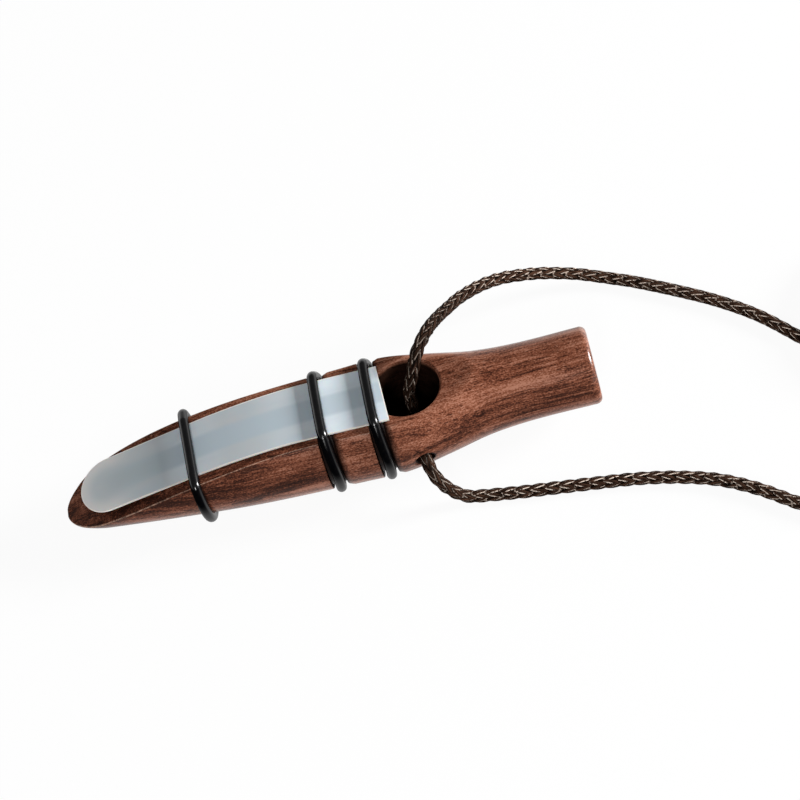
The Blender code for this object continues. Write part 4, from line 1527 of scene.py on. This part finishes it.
def ring_half(corners, radius, half_ring):
    """(y, z) of half a taut ring's middle line, from the top round the corners to the bottom."""
    width, top = corners[0]
    half = [(width * k / RING_TOP_POINTS, top + half_ring) for k in range(RING_TOP_POINTS)]
    facing = math.pi / 2
    for corner, following in zip(corners, [*corners[1:], None]):
        if following:
            turn = math.atan2(following[0] - corner[0], corner[1] - following[1])
        else:
            turn = math.atan2(corner[1], corner[0]) - math.acos(min(1.0, radius / math.hypot(*corner)))
        mid_turn = (facing + turn) / 2
        inward = (RING_BEND - half_ring) / math.cos((facing - turn) / 2)
        centre = (corner[0] - inward * math.cos(mid_turn), corner[1] - inward * math.sin(mid_turn))
        half += arc(centre, RING_BEND, facing, turn, RING_BEND_POINTS)
        facing = turn
    return half + arc((0, 0), radius + half_ring, facing, -math.pi / 2, RING_ROUND_POINTS)[1:]


def ring_line(x, corners, radius, skew=0.0, lean=0.0, bow=0.0):
    """A taut ring's middle line: straight from corner (y, z) to corner, then round the wood."""
    half = ring_half(corners, radius, RING_SIZES["Thickness"] / 2 - RING_PRESS)
    whole = half + [(-y, z) for y, z in reversed(half[1:-1])]
    reach = max(y for y, z in half)
    line = []
    for y, z in whole:
        set_back = lean * (half[0][1] - z) - skew * y + bow * (y / reach) ** 4
        line.append(Vector((x + set_back, y, AXIS_Z + z)))
    return line


def keeper_line(x):
    radius = AXIS_Z - RING_SIZES["Thickness"] + RING_PRESS
    return ring_line(x + KEEPER_SHIFT, [(REED_HALF_WIDTH, reed_top(x))], radius, bow=KEEPER_BOW)


def tuning_line(x):
    flat = math.sqrt(wood_radius(x) ** 2 - board_height(x) ** 2)
    corners = [(reed_half_width(x), reed_top(x)), (flat, board_height(x))]
    return ring_line(x, corners, wood_radius(x), TUNING_RING_SKEW, TUNING_RING_LEAN)


rings = {}
for ring_node in ("tuning_ring", "front_keeper_ring", "rear_keeper_ring"):
    ring_x = middle(ring_node).x
    ring_points = tuning_line(ring_x) if ring_node == "tuning_ring" else keeper_line(ring_x)
    ring_guide = line_curve(ring_node + " line", [ring_points], closed=True)
    rings[ring_node] = grow(ring_node + "_rubber", ring_guide, round_tube, RING_SIZES, black_rubber)

# %% [markdown]
# ## What each piece stands for and moves with
#
# The motion model knows three bodies: the call, the tuning ring that slides, and the reed that flexes. Each
# piece replaces its imported solid, and all but the reed ride on their solid's body. The reed's mesh is
# baked in place, and the tuning ring gets a mesh of its own.


def stands_for(piece, finish_slot, body_name, *nodes):
    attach(piece, body_name)
    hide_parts(*nodes)


stands_for(body, "walnut", "call", "call_body")
stands_for(rings["front_keeper_ring"], "black_rubber", "call", "front_keeper_ring")
stands_for(rings["rear_keeper_ring"], "black_rubber", "call", "rear_keeper_ring")
stands_for(rings["tuning_ring"], "black_rubber", "tuning_ring", "tuning_ring")
stands_for(long_cord, "brown_braid", "call", "lanyard_upper_run", "lanyard_coil", "lanyard_tail")
stands_for(short_cord, "brown_braid", "call", "lanyard_lower_run")
stands_for(knot, "brown_braid", "call", "lanyard_knot")
stands_for(tie, "tie_wire", "call", "coil_tie")
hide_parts("reed")
reed_start = (TUNING_RING_X, 0, AXIS_Z + reed_top(TUNING_RING_X))
reed_end = (REED_TIP_X, 0, AXIS_Z + reed_top(REED_TIP_X))
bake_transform(reed)
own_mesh(rings["tuning_ring"])
print("replaced nodes:", ", ".join(frame["nodes"]))

# %% [markdown]
# ## The cord as a cord
#
# A mesh doesn't say that it is limp, or how long it was before it was laid out. Here the lengths of both
# sides of the neck cord are only added up.


def neck_cord(path):
    path_length(path)


neck_cord(long_path)
neck_cord(short_path)
print(f"neck cord declared: {path_length(long_path) + path_length(short_path):.2f} m")
